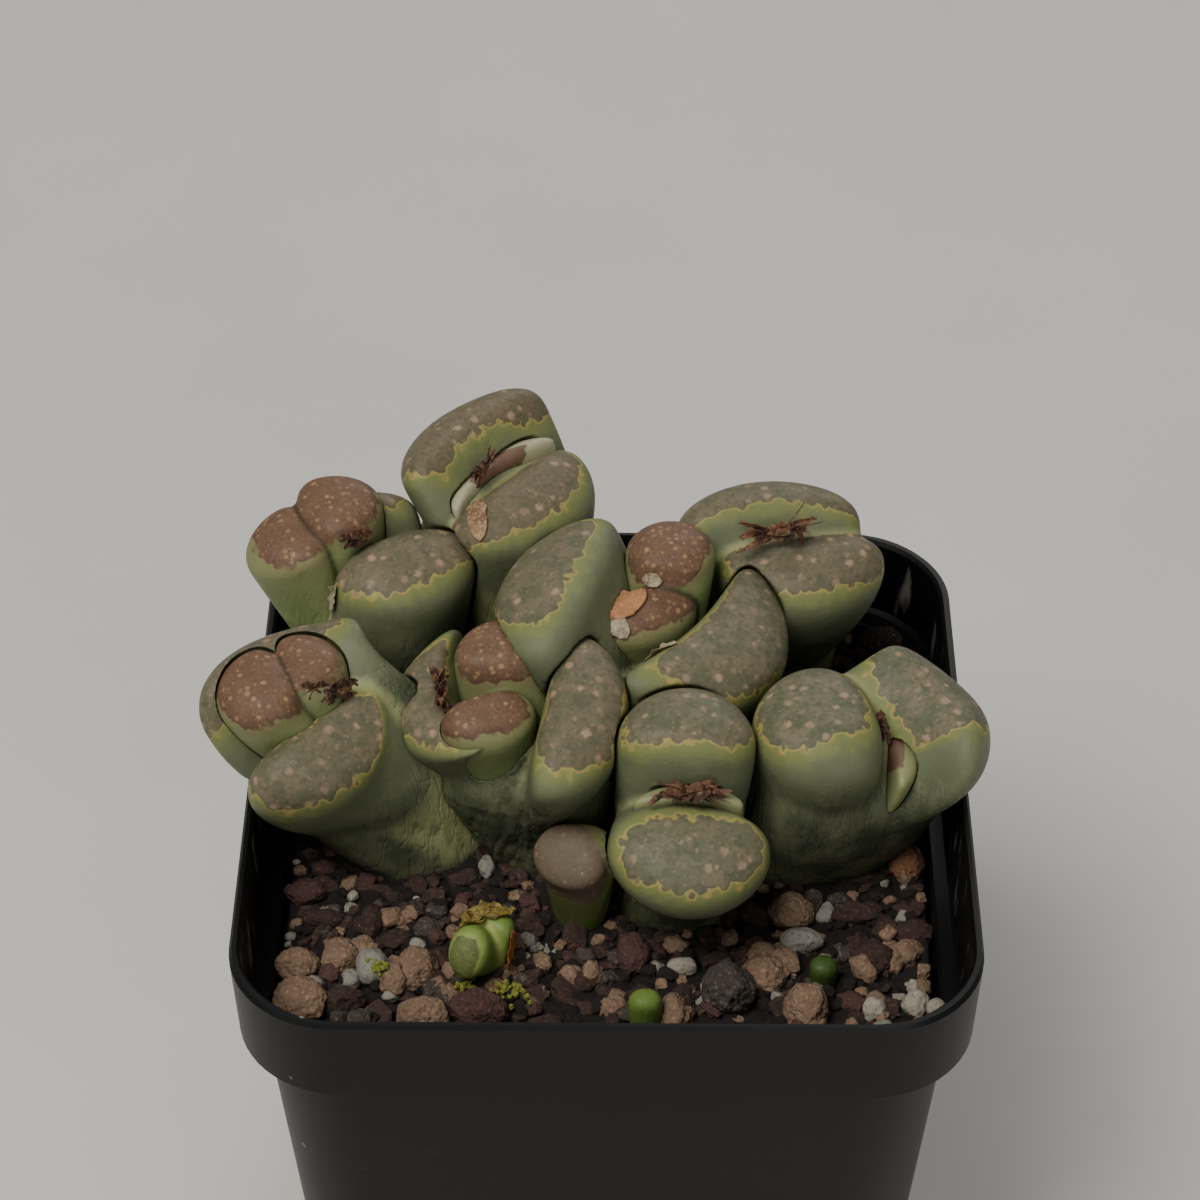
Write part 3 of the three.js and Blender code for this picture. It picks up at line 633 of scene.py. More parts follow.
def next_ring(half_from, half_to, rise):
    """Extrudes the selected top face to the next ring."""
    bpy.ops.mesh.extrude_region_move(TRANSFORM_OT_translate={"value": (0, 0, rise * MM)})
    share = half_to / half_from
    bpy.ops.transform.resize(value=(share, share, 1))


def pot_block(name, grow=0.0, flange=0.0):
    """The pot; grown and with a wide flange, it is the cutter that keeps the leaves off it."""
    piece = square_block(name, body_low, 0, collar_low - 1)
    step = (body_high - body_low) * (collar_low - 1) / collar_low
    select_faces(piece, lambda at, normal: normal.z > 0.9)
    share = (body_low + step) / body_low
    bpy.ops.transform.resize(value=(share, share, 1))
    lip, inner = WALL + grow, WALL + grow
    rings = [
        (body_high, collar_low), (collar_foot + grow + flange - 0.4, collar_low),
        (collar_foot + grow + flange, collar_low + 0.4), (WIDTH / 2 + grow + flange, HEIGHT - 0.5 + grow),
        (WIDTH / 2 + grow + flange - 0.35, HEIGHT + grow),
        (WIDTH / 2 - lip + 0.35, HEIGHT + grow), (WIDTH / 2 - lip, HEIGHT - 0.5 + grow),
        (collar_foot - inner, shelf + 0.5), (collar_foot - inner - 0.5, shelf + grow),
        (body_high - inner + 0.4, shelf + grow), (body_high - inner, shelf - 0.4),
        (body_low - inner, FLOOR + grow),
    ]
    half, level = body_low + step, collar_low - 1
    for to_half, to_level in rings:
        next_ring(half, to_half, to_level - level)
        half, level = to_half, to_level
    bpy.ops.mesh.select_all(action="SELECT")
    bpy.ops.mesh.normals_make_consistent(inside=False)
    bpy.ops.object.mode_set(mode="OBJECT")
    return piece


pot = pot_block("nursery_pot")
pot_cutter = pot_block("pot_cutter", GAP, flange=9.0)
print("pot faces:", len(pot.data.polygons), "box", [round(v / MM, 2) for v in pot.dimensions])

# %% Drain holes
for x in (-24, 24):
    for y in (-24, 24):
        only_object_mode()
        bpy.ops.mesh.primitive_cylinder_add(vertices=32, radius=2.5 * MM, depth=6 * MM, location=(x * MM, y * MM, 0))
        drill = bpy.context.object
        cut(pot, [drill])
        bpy.data.objects.remove(drill)
only_object_mode()
pot.select_set(True)
bpy.context.view_layer.objects.active = pot
bpy.ops.object.shade_smooth_by_angle(angle=math.radians(28))
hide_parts("pot")
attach(pot, "root")
print("pot with four drain holes:", len(pot.data.polygons), "faces")

# %% [markdown]
# ## The plant bodies, built front to back
# The front bodies are whole and the ones behind give way, because that is what the eye
# sees. Each body's cutters are the same leaves, grown by the gap. A young pair's socket is
# cut last, so that the old skin stays tight around it. When a body's surface is
# final, every point takes its window depth from the nearest point of the leaf spheres.
# Old skin shrivels low on the body, so fine folds are pushed into the mesh there.

# %% Window depth and folds on the final skin
BOX_ROOM = 0.00002                       # metres that a body stays inside the solids' box
from mathutils.interpolate import poly_3d_calc


def trees_of(spheres):
    """Search trees over the leaves, with their window depths."""
    made = []
    for sphere in spheres:
        mesh = sphere.data
        corners = [v.co.copy() for v in mesh.vertices]
        faces = [tuple(f.vertices) for f in mesh.polygons]
        values = [d.value for d in mesh.attributes["inside"].data]
        made.append((BVHTree.FromPolygons(corners, faces), corners, faces, values))
    return made


def depth_near(trees, point):
    """The window depth at the nearest point of any leaf."""
    best = min(((tree.find_nearest(point), k) for k, (tree, *_) in enumerate(trees)), key=lambda hit: hit[0][3])
    (place, _, face, _), k = best
    _, corners, faces, values = trees[k]
    weights = poly_3d_calc([corners[i] for i in faces[face]], place)
    return sum(w * values[i] for w, i in zip(weights, faces[face]))


def write(piece, name, values):
    """Stores one number for each vertex, instead of any that a cutter left."""
    if name in piece.data.attributes:
        piece.data.attributes.remove(piece.data.attributes[name])
    made = piece.data.attributes.new(name, "FLOAT", "POINT")
    made.data.foreach_set("value", np.asarray(values, np.float32))


def fold_skin(piece, inside, strength):
    """Pushes creases into the low, shrunken part of a body; they run down it, like cloth."""
    points = points_of(piece)
    normals = np.empty(points.size, np.float32)
    piece.data.vertex_normals.foreach_get("vector", normals)
    normals = normals.reshape(-1, 3)
    push = np.zeros(len(points), np.float32)
    for number, depth in enumerate(inside):
        low = min(max((-depth - 6) / 8, 0), 1)
        if low > 0:
            x, y, z = points[number] / MM
            lean = noise.noise((x * 0.08, y * 0.08, z * 0.08)) * 3
            upright = noise.noise((x * 0.55 + lean, y * 0.55, z * 0.07 + 9))
            level = noise.noise((x * 0.12 + 5, y * 0.12, z * 0.55))
            push[number] = -low * strength * ((1 - abs(upright)) ** 4 * 0.30 + abs(level) ** 0.8 * 0.14)
    points += normals * push[:, None] * MM
    piece.data.vertices.foreach_set("co", points.ravel())
    piece.data.update()


def dress(piece, spheres, tone, folds=0.0):
    """Gives a finished body its window depth, its tone, its folds and its nearness to the fissure."""
    trees = trees_of(spheres)
    inside = [depth_near(trees, v.co) for v in piece.data.vertices]
    cleft = [9.0] * len(inside)
    if len(trees) > 1:
        cleft = [max(tree.find_nearest(v.co)[3] for tree, *_ in trees[:2]) / MM for v in piece.data.vertices]
    if folds:
        fold_skin(piece, inside, folds)
    held = np.clip(points_of(piece), np.array(cad_low) + BOX_ROOM, np.array(cad_high) - BOX_ROOM)
    piece.data.vertices.foreach_set("co", held.astype(np.float32).ravel())
    piece.data.update()
    write(piece, "inside", inside)
    write(piece, "cleft", cleft)
    write(piece, "tone", np.full(len(inside), tone))
    only_object_mode()
    piece.select_set(True)
    bpy.context.view_layer.objects.active = piece
    bpy.ops.object.shade_smooth()


print("search trees ready")

# %% Building the bodies
standing = [pot_cutter]
bodies, pale_lips = [], []


def stands_for(piece, node):
    """Ties a finished body to its solid."""
    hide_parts(node)
    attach(piece, "root")


def twins(pieces):
    """A copy of each piece, with a mesh of its own."""
    made = [bpy.data.objects.new(piece.name, piece.data.copy()) for piece in pieces]
    for twin in made:
        bpy.context.collection.objects.link(twin)
    return made


def build_young(body, young):
    """A young body in its fissure; its grown twin is the socket for the old one."""
    name = "new_pair_" + body["name"]
    spheres = body_spheres("shape", young)
    piece = skin_of(join(twins(spheres), name), 0.36, 3)
    piece = keep_biggest(cut(piece, standing))
    piece = skin_of(piece, 0.26, 2)
    dress(piece, spheres, body["tone"])
    stands_for(piece, "young_" + body["name"])
    remove(spheres)
    return piece, body_spheres("socket", young, SNUG)


def opened(socket):
    """The socket again, a little higher, which clears the thin skin over a young body."""
    above = twins(socket)
    for piece in above:
        piece.data.transform(Matrix.Translation(Vector((0, 0, SKIN)) * MM))
    return above


for body in PAIRS:
    socket = []
    if body["young"]:
        young = {**body["young"], "depth": YOUNG_DEPTH}
        piece, socket = build_young(body, young)
        (pale_lips if body["name"] in CLOSED else bodies).append(piece)
    spheres = body_spheres("shape", body)
    old = skin_of(join(twins(spheres), "old_pair_" + body["name"]), 0.5, 14)
    old = skin_of(keep_biggest(cut(old, standing)), 0.34, 7)
    if socket:
        above = opened(socket)
        old = modify(keep_biggest(cut(old, socket + above)), "SMOOTH", factor=0.5, iterations=2)
        remove(above)
    dress(old, spheres[:2], body["tone"], body["folds"])
    stands_for(old, "leaves_" + body["name"])
    bodies.append(old)
    remove(spheres)
    standing += body_spheres("cutter", body, GAP, 40, 28) + socket
    print(old.name, len(old.data.polygons), "faces; young:", bool(body["young"]))

# %% Seedlings
seedlings = []
for small in SEEDLINGS:
    spheres = body_spheres("shape", small, 0.0, 40, 28)
    piece = skin_of(join(twins(spheres), "small_" + small["name"]), 0.25, 5)
    piece = keep_biggest(cut(piece, standing))
    dress(piece, spheres, small["tone"])
    stands_for(piece, small["name"])
    seedlings.append(piece)
    remove(spheres)
remove(standing)
print("seedlings:", [(s.name, len(s.data.polygons)) for s in seedlings])

# %% [markdown]
# ## Leaf skin
# The skin of a living stone is smooth and waxy, with a dull bloom. In the window the
# tissue is clear, so the colour comes from below: a grey-green ground, finely mottled,
# with pale pinkish dots where opaque tissue shows through. At the window's edge the skin
# turns opaque along a toothed yellow line, which fades to yellow-green and then to the
# grey-green of the sides. The teeth come from a cell pattern: its distance grows towards
# the cell walls, which pulls the edge into the window in cusps, as on the plant.

# %% Skin material


def leaf_skin(name, colours, tooth=1.5, reach=2.0, sway=2.0, dot_cell=2.1, dot_size=(0.13, 0.28), dots=1.1, fissure_shade=0.0, rough=0.52):
    """Waxy leaf skin, from a dictionary of its colours."""
    material, tree, where = fresh(name)
    inside = add(tree, "ShaderNodeAttribute", attribute_name="inside").outputs["Fac"]
    tone = add(tree, "ShaderNodeAttribute", attribute_name="tone").outputs["Fac"]
    cleft = add(tree, "ShaderNodeAttribute", attribute_name="cleft").outputs["Fac"]
    # The toothed edge, in mm inside the window.
    cells = grain(tree, where, tooth, kind="ShaderNodeTexVoronoi", Randomness=0.9)
    fine_cells = grain(tree, where, tooth * 0.45, kind="ShaderNodeTexVoronoi", Randomness=1.0)
    wander = calc(tree, "SUBTRACT", grain(tree, where, 7.0, 2), 0.5)
    fray = calc(tree, "SUBTRACT", grain(tree, where, 0.5, 3), 0.5)
    edge = calc(tree, "MULTIPLY_ADD", cells, -reach, inside)
    edge = calc(tree, "MULTIPLY_ADD", fine_cells, -reach * 0.22, edge)
    edge = calc(tree, "ADD", edge, reach * 0.54)
    edge = calc(tree, "MULTIPLY_ADD", wander, sway, edge)
    edge = calc(tree, "MULTIPLY_ADD", fray, 0.32, edge)
    # Below the edge: thin yellow line, yellow-green glow, grey-green side, and a foot colour low on the body that is
    # darker on old pairs and seedlings: painted shade.
    low = ramp(tree, inside, -18, -3)
    side = mix(tree, low, hexed(colours["foot"]), hexed(colours["side"]))
    cloudy = ramp(tree, grain(tree, where, 5.0, 3), 0.35, 0.7, 0.0, 0.5)
    side = mix(tree, cloudy, side, hexed(colours["side_pale"]))
    pores = ramp(tree, grain(tree, where, 0.6, kind="ShaderNodeTexVoronoi"), 0.3, 0.12, 0.0, 0.16)
    side = mix(tree, pores, side, hexed(colours["pore"]))
    glow = calc(tree, "MULTIPLY", ramp(tree, edge, -3.6, -0.4), 0.8)
    side = mix(tree, glow, side, hexed(colours["glow"]))
    uneven = ramp(tree, grain(tree, where, 3.0, 2), 0.3, 0.6, 0.45, 1.0)
    line = calc(tree, "MULTIPLY", ramp(tree, edge, -0.70, -0.10), uneven)
    side = mix(tree, line, side, hexed(colours["line"]))
    lip = calc(tree, "MULTIPLY", ramp(tree, cleft, 1.5, 0.3), ramp(tree, grain(tree, where, 1.8, 2), 0.2, 0.6, 0.3, 0.7))
    side = mix(tree, lip, side, hexed(colours["lip"]))
    # The window: cloudy ground, fine mottle, soft pale dots of two sizes, a darker rim.
    ground = mix(tree, ramp(tree, grain(tree, where, 2.4, 4), 0.35, 0.65), hexed(colours["window"]), hexed(colours["window_2"]))
    ground = mix(tree, tone, ground, hexed(colours["window_brown"]))
    mottle = ramp(tree, grain(tree, where, dot_cell * 0.34, 3), 0.46, 0.66, 0.0, 0.55)
    ground = mix(tree, mottle, ground, hexed(colours["speck"]))
    spots = add(tree, "ShaderNodeTexVoronoi", {"Vector": where, "Scale": per_mm(dot_cell), "Randomness": 0.85})
    chance = add(tree, "ShaderNodeSeparateColor", {"Color": spots.outputs["Color"]})
    size = ramp(tree, chance.outputs[0], 0.0, 1.0, *dot_size)
    blur = calc(tree, "MULTIPLY_ADD", calc(tree, "SUBTRACT", grain(tree, where, 0.5, 2), 0.5), 0.42, spots.outputs["Distance"])
    spot = ramp(tree, calc(tree, "SUBTRACT", blur, size), 0.12, -0.13)
    weight = ramp(tree, chance.outputs[1], 0.0, 0.9, 0.35 * dots, 0.85 * dots)
    ground = mix(tree, calc(tree, "MULTIPLY", spot, weight), ground, hexed(colours["dot"]))
    small = grain(tree, where, dot_cell * 0.42, kind="ShaderNodeTexVoronoi")
    speck = calc(tree, "MULTIPLY", ramp(tree, small, 0.30, 0.10), 0.26 * dots)
    ground = mix(tree, speck, ground, hexed(colours["dot"]))
    window = ramp(tree, edge, -0.10, 0.22)
    rim = calc(tree, "MULTIPLY", ramp(tree, edge, 1.1, 0.1), 0.35)
    ground = mix(tree, rim, ground, hexed(colours["rim"]))
    colour = mix(tree, window, side, ground)
    # Painted shade: a dark line down the fissure, where the two leaves meet.
    fissure_shade_mask = calc(tree, "MULTIPLY", ramp(tree, cleft, 0.75, 0.1), fissure_shade)
    colour = mix(tree, fissure_shade_mask, colour, hexed("2A2A18"))
    # A waxy bloom breaks the gloss; dots and pores give a very shallow relief.
    bloom = ramp(tree, grain(tree, where, 2.2, 3), 0.3, 0.7, rough - 0.05, rough + 0.10)
    relief = calc(tree, "MULTIPLY_ADD", grain(tree, where, 0.35, 2), 0.4, grain(tree, where, 1.6, 2))
    relief = calc(tree, "MULTIPLY_ADD", spot, 0.25, relief)
    # Old skin shrinks low down: fine creases that run down the body.
    down = add(tree, "ShaderNodeMapping", {"Vector": where, "Scale": (1, 1, 0.14)}).outputs["Vector"]
    crease = calc(tree, "ABSOLUTE", calc(tree, "SUBTRACT", grain(tree, down, 1.5, 3), 0.5))
    crease = calc(tree, "MULTIPLY", ramp(tree, crease, 0.0, 0.07), ramp(tree, inside, -6, -13, 0.0, 1.5))
    relief = calc(tree, "ADD", relief, crease)
    bump = add(tree, "ShaderNodeBump", {"Height": relief, "Strength": 0.4, "Distance": 0.00022}).outputs["Normal"]
    finish(tree, colour, bloom, bump, Subsurface_Weight=0.10, Subsurface_Scale=0.0014,
           Subsurface_Radius=(1.0, 0.9, 0.35), IOR=1.40, Specular_IOR_Level=0.38)
    return material


# The foot colours, darker than the sides on old pairs and seedlings, are painted shade low on the bodies.
OLD = dict(foot="3D4230", side="646B50", side_pale="74795C", pore="858A6C", glow="7C8149", line="A09254", lip="9A9C6C",
           window="5C5F49", window_2="736C56", window_brown="6E5D49", speck="4A503B", dot="AE917A", rim="55573F")
YOUNG = dict(foot="64803A", side="757F54", side_pale="868B60", pore="9AA070", glow="7E7A54", line="5A3C34", lip="5C6A3C",
             window="695040", window_2="765A47", window_brown="705541", speck="53402F", dot="A88862", rim="594334")
SMALL = dict(foot="4A5C26", side="66803A", side_pale="789047", pore="90A45C", glow="7E9248", line="8E9A56", lip="A0A85E",
             window="5A6638", window_2="6A7342", window_brown="6A6A44", speck="46522A", dot="8E9664", rim="52602F")
DARK = dict(SMALL, foot="26361A", side="3A5224", side_pale="4A6430", pore="5E7440")
# The round seedling's foot, side and glow are darkened further as painted shade: its stalk stands in shadow under the
# disc.
ROUND = dict(SMALL, foot="24221A", side="424A28", side_pale="525C30", glow="566034", line="6A733E", lip="5C6634", window="6A6150", window_2="6C604E",
             window_brown="685848", speck="5A5644", dot="907C6A", rim="5C5A44")
old_skin = leaf_skin("waxy_old_leaf_skin", OLD, dots=0.92)
young_skin = leaf_skin("waxy_young_leaf_skin", YOUNG, tooth=1.1, reach=1.3, sway=1.6, dot_cell=1.0,
                       dot_size=(0.16, 0.36), dots=0.9, fissure_shade=0.85, rough=0.56)
small_skin = leaf_skin("waxy_seedling_skin", SMALL, tooth=1.2, reach=0.6, sway=0.8, dot_cell=1.3, dots=0.5, rough=0.46)
round_skin = leaf_skin("dull_round_seedling_skin_painted_shade", ROUND, tooth=1.2, reach=0.6, sway=0.8, dot_cell=1.2, dots=0.8, rough=0.58)
dark_skin = leaf_skin("waxy_dark_seedling_skin", DARK, tooth=1.2, reach=0.6, sway=0.8, dot_cell=1.3, dots=0.5, rough=0.40)
SMALL_SKINS = {"small_seedling_round": round_skin, "small_seedling_right": dark_skin}
for piece in bodies:
    paint(piece, young_skin if piece.name.startswith("new_pair") else old_skin)
for piece in seedlings:
    paint(piece, SMALL_SKINS.get(piece.name, small_skin))
print("skins:", old_skin.name, young_skin.name, small_skin.name)

# %% [markdown]
# ## Pale lips
# Three fissures show only a thin crescent of the next young body: cream or pale green,
# because light hasn't reached it yet, with a first strip of brown window on the side that
# the sun finds.

# %% Lip material
lip_skin, tree, where = fresh("etiolated_young_lip")
inside = add(tree, "ShaderNodeAttribute", attribute_name="inside").outputs["Fac"]
tone = add(tree, "ShaderNodeAttribute", attribute_name="tone").outputs["Fac"]
tint = mix(tree, grain(tree, where, 3.0, 2), hexed("7D8558"), hexed("98996F"))
# Tone turns the lip from olive to cream. The back lip's cream and the right lip's pale green are their own colours; the
# front lip's olive is partly painted shade, as it sits in shadow.
tint = mix(tree, ramp(tree, tone, 0.1, 0.5), tint, hexed("ABA78A"))
tint = mix(tree, ramp(tree, grain(tree, where, 0.8, 3), 0.55, 0.8, 0.0, 0.5), tint, hexed("808A58"))
fresh_window = mix(tree, grain(tree, where, 1.2, 3), hexed("644C3E"), hexed("7E6553"))
ragged = calc(tree, "MULTIPLY_ADD", calc(tree, "SUBTRACT", grain(tree, where, 1.2, 3), 0.5), 2.0, inside)
tint = mix(tree, ramp(tree, ragged, -0.2, 0.3), tint, fresh_window)
finish(tree, tint, 0.5, Subsurface_Weight=0.12, Subsurface_Scale=0.0012, Subsurface_Radius=(1.0, 0.9, 0.4))
for piece in pale_lips:
    paint(piece, lip_skin)
print("pale lips:", [p.name for p in pale_lips])

# %% [markdown]
# ## Black plastic of the pot
# Recycled black polypropylene is matt and slightly grey where light grazes it. Watering
# leaves chalky tide marks inside the rim, and handling leaves fine scuffs on the collar.

# %% Pot material
plastic, tree, where = fresh("black_polypropylene_with_lime_marks")
place = add(tree, "ShaderNodeSeparateXYZ", {"Vector": where})
height = place.outputs["Z"]
tint = mix(tree, grain(tree, where, 9, 3), hexed("080809"), hexed("0D0D0E"))
# Scuffs: long thin streaks, stretched around the pot.
long_way = add(tree, "ShaderNodeMapping", {"Vector": where, "Scale": (1, 1, 7)}).outputs["Vector"]
scuff = ramp(tree, grain(tree, long_way, 3.2, 5), 0.60, 0.78, 0.0, 0.25)
tint = mix(tree, scuff, tint, hexed("343436"))
# Lime: runs down the inner wall, strongest under the rim.
runs = add(tree, "ShaderNodeMapping", {"Vector": where, "Scale": (1, 1, 0.22)}).outputs["Vector"]
lime = ramp(tree, grain(tree, runs, 2.4, 6), 0.56, 0.72)
level = ramp(tree, height, 66 * MM, 72 * MM)
under_rim = calc(tree, "MULTIPLY", level, ramp(tree, height, 79.6 * MM, 78.2 * MM))
facing = add(tree, "ShaderNodeNewGeometry").outputs["Normal"]
inward = add(tree, "ShaderNodeVectorMath", {0: facing, 1: where}, operation="DOT_PRODUCT").outputs["Value"]
inner = ramp(tree, inward, 0.002, -0.012)
lime = calc(tree, "MULTIPLY", calc(tree, "MULTIPLY", lime, under_rim), inner)
tint = mix(tree, calc(tree, "MULTIPLY", lime, 0.40), tint, hexed("A9A59C"))
# Splashes: small pale specks, few and scattered.
splash = add(tree, "ShaderNodeTexVoronoi", {"Vector": where, "Scale": per_mm(7.0), "Randomness": 1.0})
chosen = add(tree, "ShaderNodeSeparateColor", {"Color": splash.outputs["Color"]}).outputs[1]
speck = calc(tree, "MULTIPLY", ramp(tree, splash.outputs["Distance"], 0.085, 0.05), ramp(tree, chosen, 0.72, 0.76))
tint = mix(tree, calc(tree, "MULTIPLY", speck, 0.7), tint, hexed("BDB6A6"))
rough = mix(tree, lime, (0.44,) * 3 + (1,), (0.85,) * 3 + (1,))
skin = add(tree, "ShaderNodeBump", {"Height": grain(tree, where, 0.5, 2), "Strength": 0.12, "Distance": 0.0001})
finish(tree, tint, rough, skin.outputs["Normal"], IOR=1.49, Specular_IOR_Level=0.25)
paint(pot, plastic)
print("pot dressed in", plastic.name)

# %% [markdown]
# ## Soil and grit
# The pot is filled to 13 mm below the rim with fine dark bark compost, full of grit; its colour,
# like that of the bark chips, humus crumbs and dark grit, is partly its own and partly darkened
# further as painted shade. The soil is a grid with a crumbly height, extruded down and trimmed
# to the inside of the pot, so it meets the wall all around. The stones that the eye picks out are
# in a table, taken one by one from the photograph; the small chips between them are seeded.

# %% Soil block
SOIL = 67.0
soil_random = random.Random(11)
only_object_mode()
bpy.ops.mesh.primitive_grid_add(x_subdivisions=150, y_subdivisions=150, size=86 * MM)
soil = bpy.context.object
soil.name = soil.data.name = "bark_compost"
for vertex in soil.data.vertices:
    x, y = vertex.co.x / MM, vertex.co.y / MM
    hills = noise.fractal(Vector((x * 0.05, y * 0.05, 3.0)), 1.0, 2.0, 2) * 0.7
    crumbs = noise.fractal(Vector((x * 0.45, y * 0.45, 8.0)), 0.8, 2.0, 4) * 0.70
    lumps = (0.5 - noise.voronoi(Vector((x * 0.55, y * 0.55, 1.0)))[0][0]) * 0.8
    vertex.co.z = (SOIL - 0.45 + hills + crumbs + lumps) * MM
bpy.ops.object.mode_set(mode="EDIT")
bpy.ops.mesh.select_all(action="SELECT")
bpy.ops.mesh.extrude_region_move(TRANSFORM_OT_translate={"value": (0, 0, -70 * MM)})
bpy.ops.transform.resize(value=(1, 1, 0), center_override=(0, 0, -5 * MM))
bpy.ops.mesh.select_all(action="SELECT")
bpy.ops.mesh.normals_make_consistent(inside=False)
bpy.ops.object.mode_set(mode="OBJECT")
inside_block = square_block("inside", body_low - WALL - GAP, FLOOR + GAP, SOIL + 6)
select_faces(inside_block, lambda at, normal: normal.z > 0.9)
share = (body_high - WALL - GAP) / (body_low - WALL - GAP)
bpy.ops.transform.resize(value=(share, share, 1))
bpy.ops.object.mode_set(mode="OBJECT")
only_object_mode()
modify(soil, "BOOLEAN", operation="INTERSECT", object=inside_block, solver="MANIFOLD")
remove([inside_block])
soil.data.shade_smooth()
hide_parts("soil")
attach(soil, "root")
print("soil:", len(soil.data.polygons), "faces, top", round(soil.dimensions.z / MM, 1), "mm above the floor")

# %% Where the ground is free of plants
ground_tree = BVHTree.FromPolygons([v.co.copy() for v in soil.data.vertices], [tuple(f.vertices) for f in soil.data.polygons])
plant_trees = [
    BVHTree.FromPolygons([v.co.copy() for v in p.data.vertices], [tuple(f.vertices) for f in p.data.polygons])
    for p in bodies + pale_lips + seedlings
]


def ground(x, y):
    """The soil's height in mm at a place, or None inside a plant or outside the pot."""
    hit, *_ = ground_tree.ray_cast(Vector((x, y, 75)) * MM, Vector((0, 0, -1)), 20 * MM)
    if hit is None:
        return None
    for tree in plant_trees:
        found, normal, *_ = tree.ray_cast(hit + Vector((0, 0, 0.0004)), Vector((0, 0, 1)), 60 * MM)
        if found is not None and normal.z > 0:
            return None
    return hit.z / MM


print("soil height at the front:", round(ground(0, -36), 2))

# %% Stones of the table: x, y, half width, half depth, half height, kind
STONES = [
    (-37.3, -29.8, 3.4, 3.4, 2.6, "pumice"), (-38.0, -23.4, 2.9, 2.5, 2.3, "pumice"),
    (-32.9, -22.3, 2.6, 2.8, 2.2, "pumice"), (-23.4, -23.9, 2.9, 3.1, 2.6, "pumice"),
    (-22.2, -31.9, 3.3, 2.7, 2.4, "pumice"), (-15.6, -31.3, 3.6, 2.7, 2.5, "lava"),
    (-31.8, -29.6, 2.6, 1.7, 2.0, "bark"), (-36.0, -26.8, 1.5, 1.5, 1.4, "grey"),
    (-28.9, -24.0, 2.1, 2.7, 2.3, "grey"), (-29.4, -16.3, 1.4, 3.0, 1.7, "bark"),
    (-38.0, -10.8, 2.6, 1.9, 1.7, "lava"), (-35.2, -15.6, 3.0, 1.4, 1.5, "bark"),
    (3.3, -21.5, 2.0, 3.4, 2.0, "lava"), (9.4, -23.6, 2.0, 1.3, 1.4, "perlite"),
    (14.9, -28.2, 3.4, 3.9, 3.0, "dark"), (19.5, -24.6, 3.2, 2.8, 2.3, "pumice"),
    (24.3, -30.2, 2.9, 3.5, 2.6, "pumice"), (23.0, -14.0, 2.9, 2.8, 2.4, "pumice"),
    (24.2, -18.9, 2.8, 1.9, 1.7, "grey"), (37.9, -5.0, 2.4, 2.9, 2.2, "orange"),
    (32.8, -29.6, 1.6, 1.6, 1.5, "perlite"), (37.8, -28.8, 1.9, 1.9, 1.8, "perlite"),
    (40.3, -30.5, 1.4, 1.6, 1.4, "perlite"), (38.3, -17.0, 2.6, 1.9, 1.6, "bark"),
    (31.0, -14.0, 3.4, 1.5, 1.5, "bark"), (-4.4, -24.4, 1.7, 1.6, 1.4, "pumice"),
    (1.0, -30.0, 2.2, 2.0, 1.7, "pumice"), (8.3, -31.3, 1.8, 2.8, 1.9, "pumice"),
    (36.8, 36.6, 3.0, 2.6, 1.9, "dark"), (38.6, 25.0, 2.2, 2.4, 1.7, "lava"),
    (36.9, 15.0, 2.0, 2.4, 1.6, "dark"), (33.0, -21.5, 2.6, 2.2, 1.6, "bark"),
]
KINDS = {kind: [] for *_, kind in STONES}


def stone(number, x, y, wide, deep, high, kind):
    """One broken stone: an icosphere with flats and a pitted skin, sunk by a third."""
    only_object_mode()
    bpy.ops.mesh.primitive_ico_sphere_add(subdivisions=5 if wide > 2.4 else 4, radius=1)
    piece = bpy.context.object
    piece.name = f"{kind}_stone_{number}"
    seed = Vector((number * 3.7, number * 1.3, 2.0))
    flats = [Vector((soil_random.uniform(-1, 1), soil_random.uniform(-1, 1), soil_random.uniform(-0.6, 1))).normalized()
             for _ in range(9)]
    smooth = kind in ("grey", "perlite")
    for vertex in piece.data.vertices:
        way = vertex.co.normalized()
        size = min([1.0] + [0.80 / max(way.dot(flat), 0.1) for flat in flats])
        size = size * 0.7 + 0.3
        size += noise.fractal(way * 1.6 + seed, 0.9, 2.0, 3) * (0.05 if smooth else 0.12)
        pits = noise.fractal(way * 6.5 + seed, 0.7, 2.0, 3)
        size += pits * (0.012 if smooth else 0.045)
        vertex.co = Vector((way.x * wide, way.y * deep, way.z * high)) * (size * MM)
    level = ground(x, y)
    lift = (SOIL if level is None else level) + high * 0.42
    piece.data.transform(Matrix.Translation(Vector((x, y, lift)) * MM) @ Matrix.Rotation(number * 1.9, 4, "Z")
                         if wide == deep else Matrix.Translation(Vector((x, y, lift)) * MM))
    piece.data.shade_smooth()
    KINDS[kind].append(piece)


for number, row in enumerate(STONES, 1):
    stone(number, *row)
print("stones:", {kind: len(pieces) for kind, pieces in KINDS.items()})

# %% Small chips and pebbles, seeded


def chip_shape(number):
    """A broken chip: a bevelled cube with its corners pulled about."""
    only_object_mode()
    bpy.ops.mesh.primitive_cube_add(size=1.3)
    shape = bpy.context.object
    bpy.ops.object.mode_set(mode="EDIT")
    bpy.ops.mesh.select_all(action="SELECT")
    bpy.ops.mesh.bevel(offset=0.26, segments=1)
    bpy.ops.object.mode_set(mode="OBJECT")
    for vertex in shape.data.vertices:
        vertex.co += Vector([soil_random.uniform(-0.14, 0.14) for _ in range(3)])
    shape.name = f"chip_shape_{number}"
    return shape


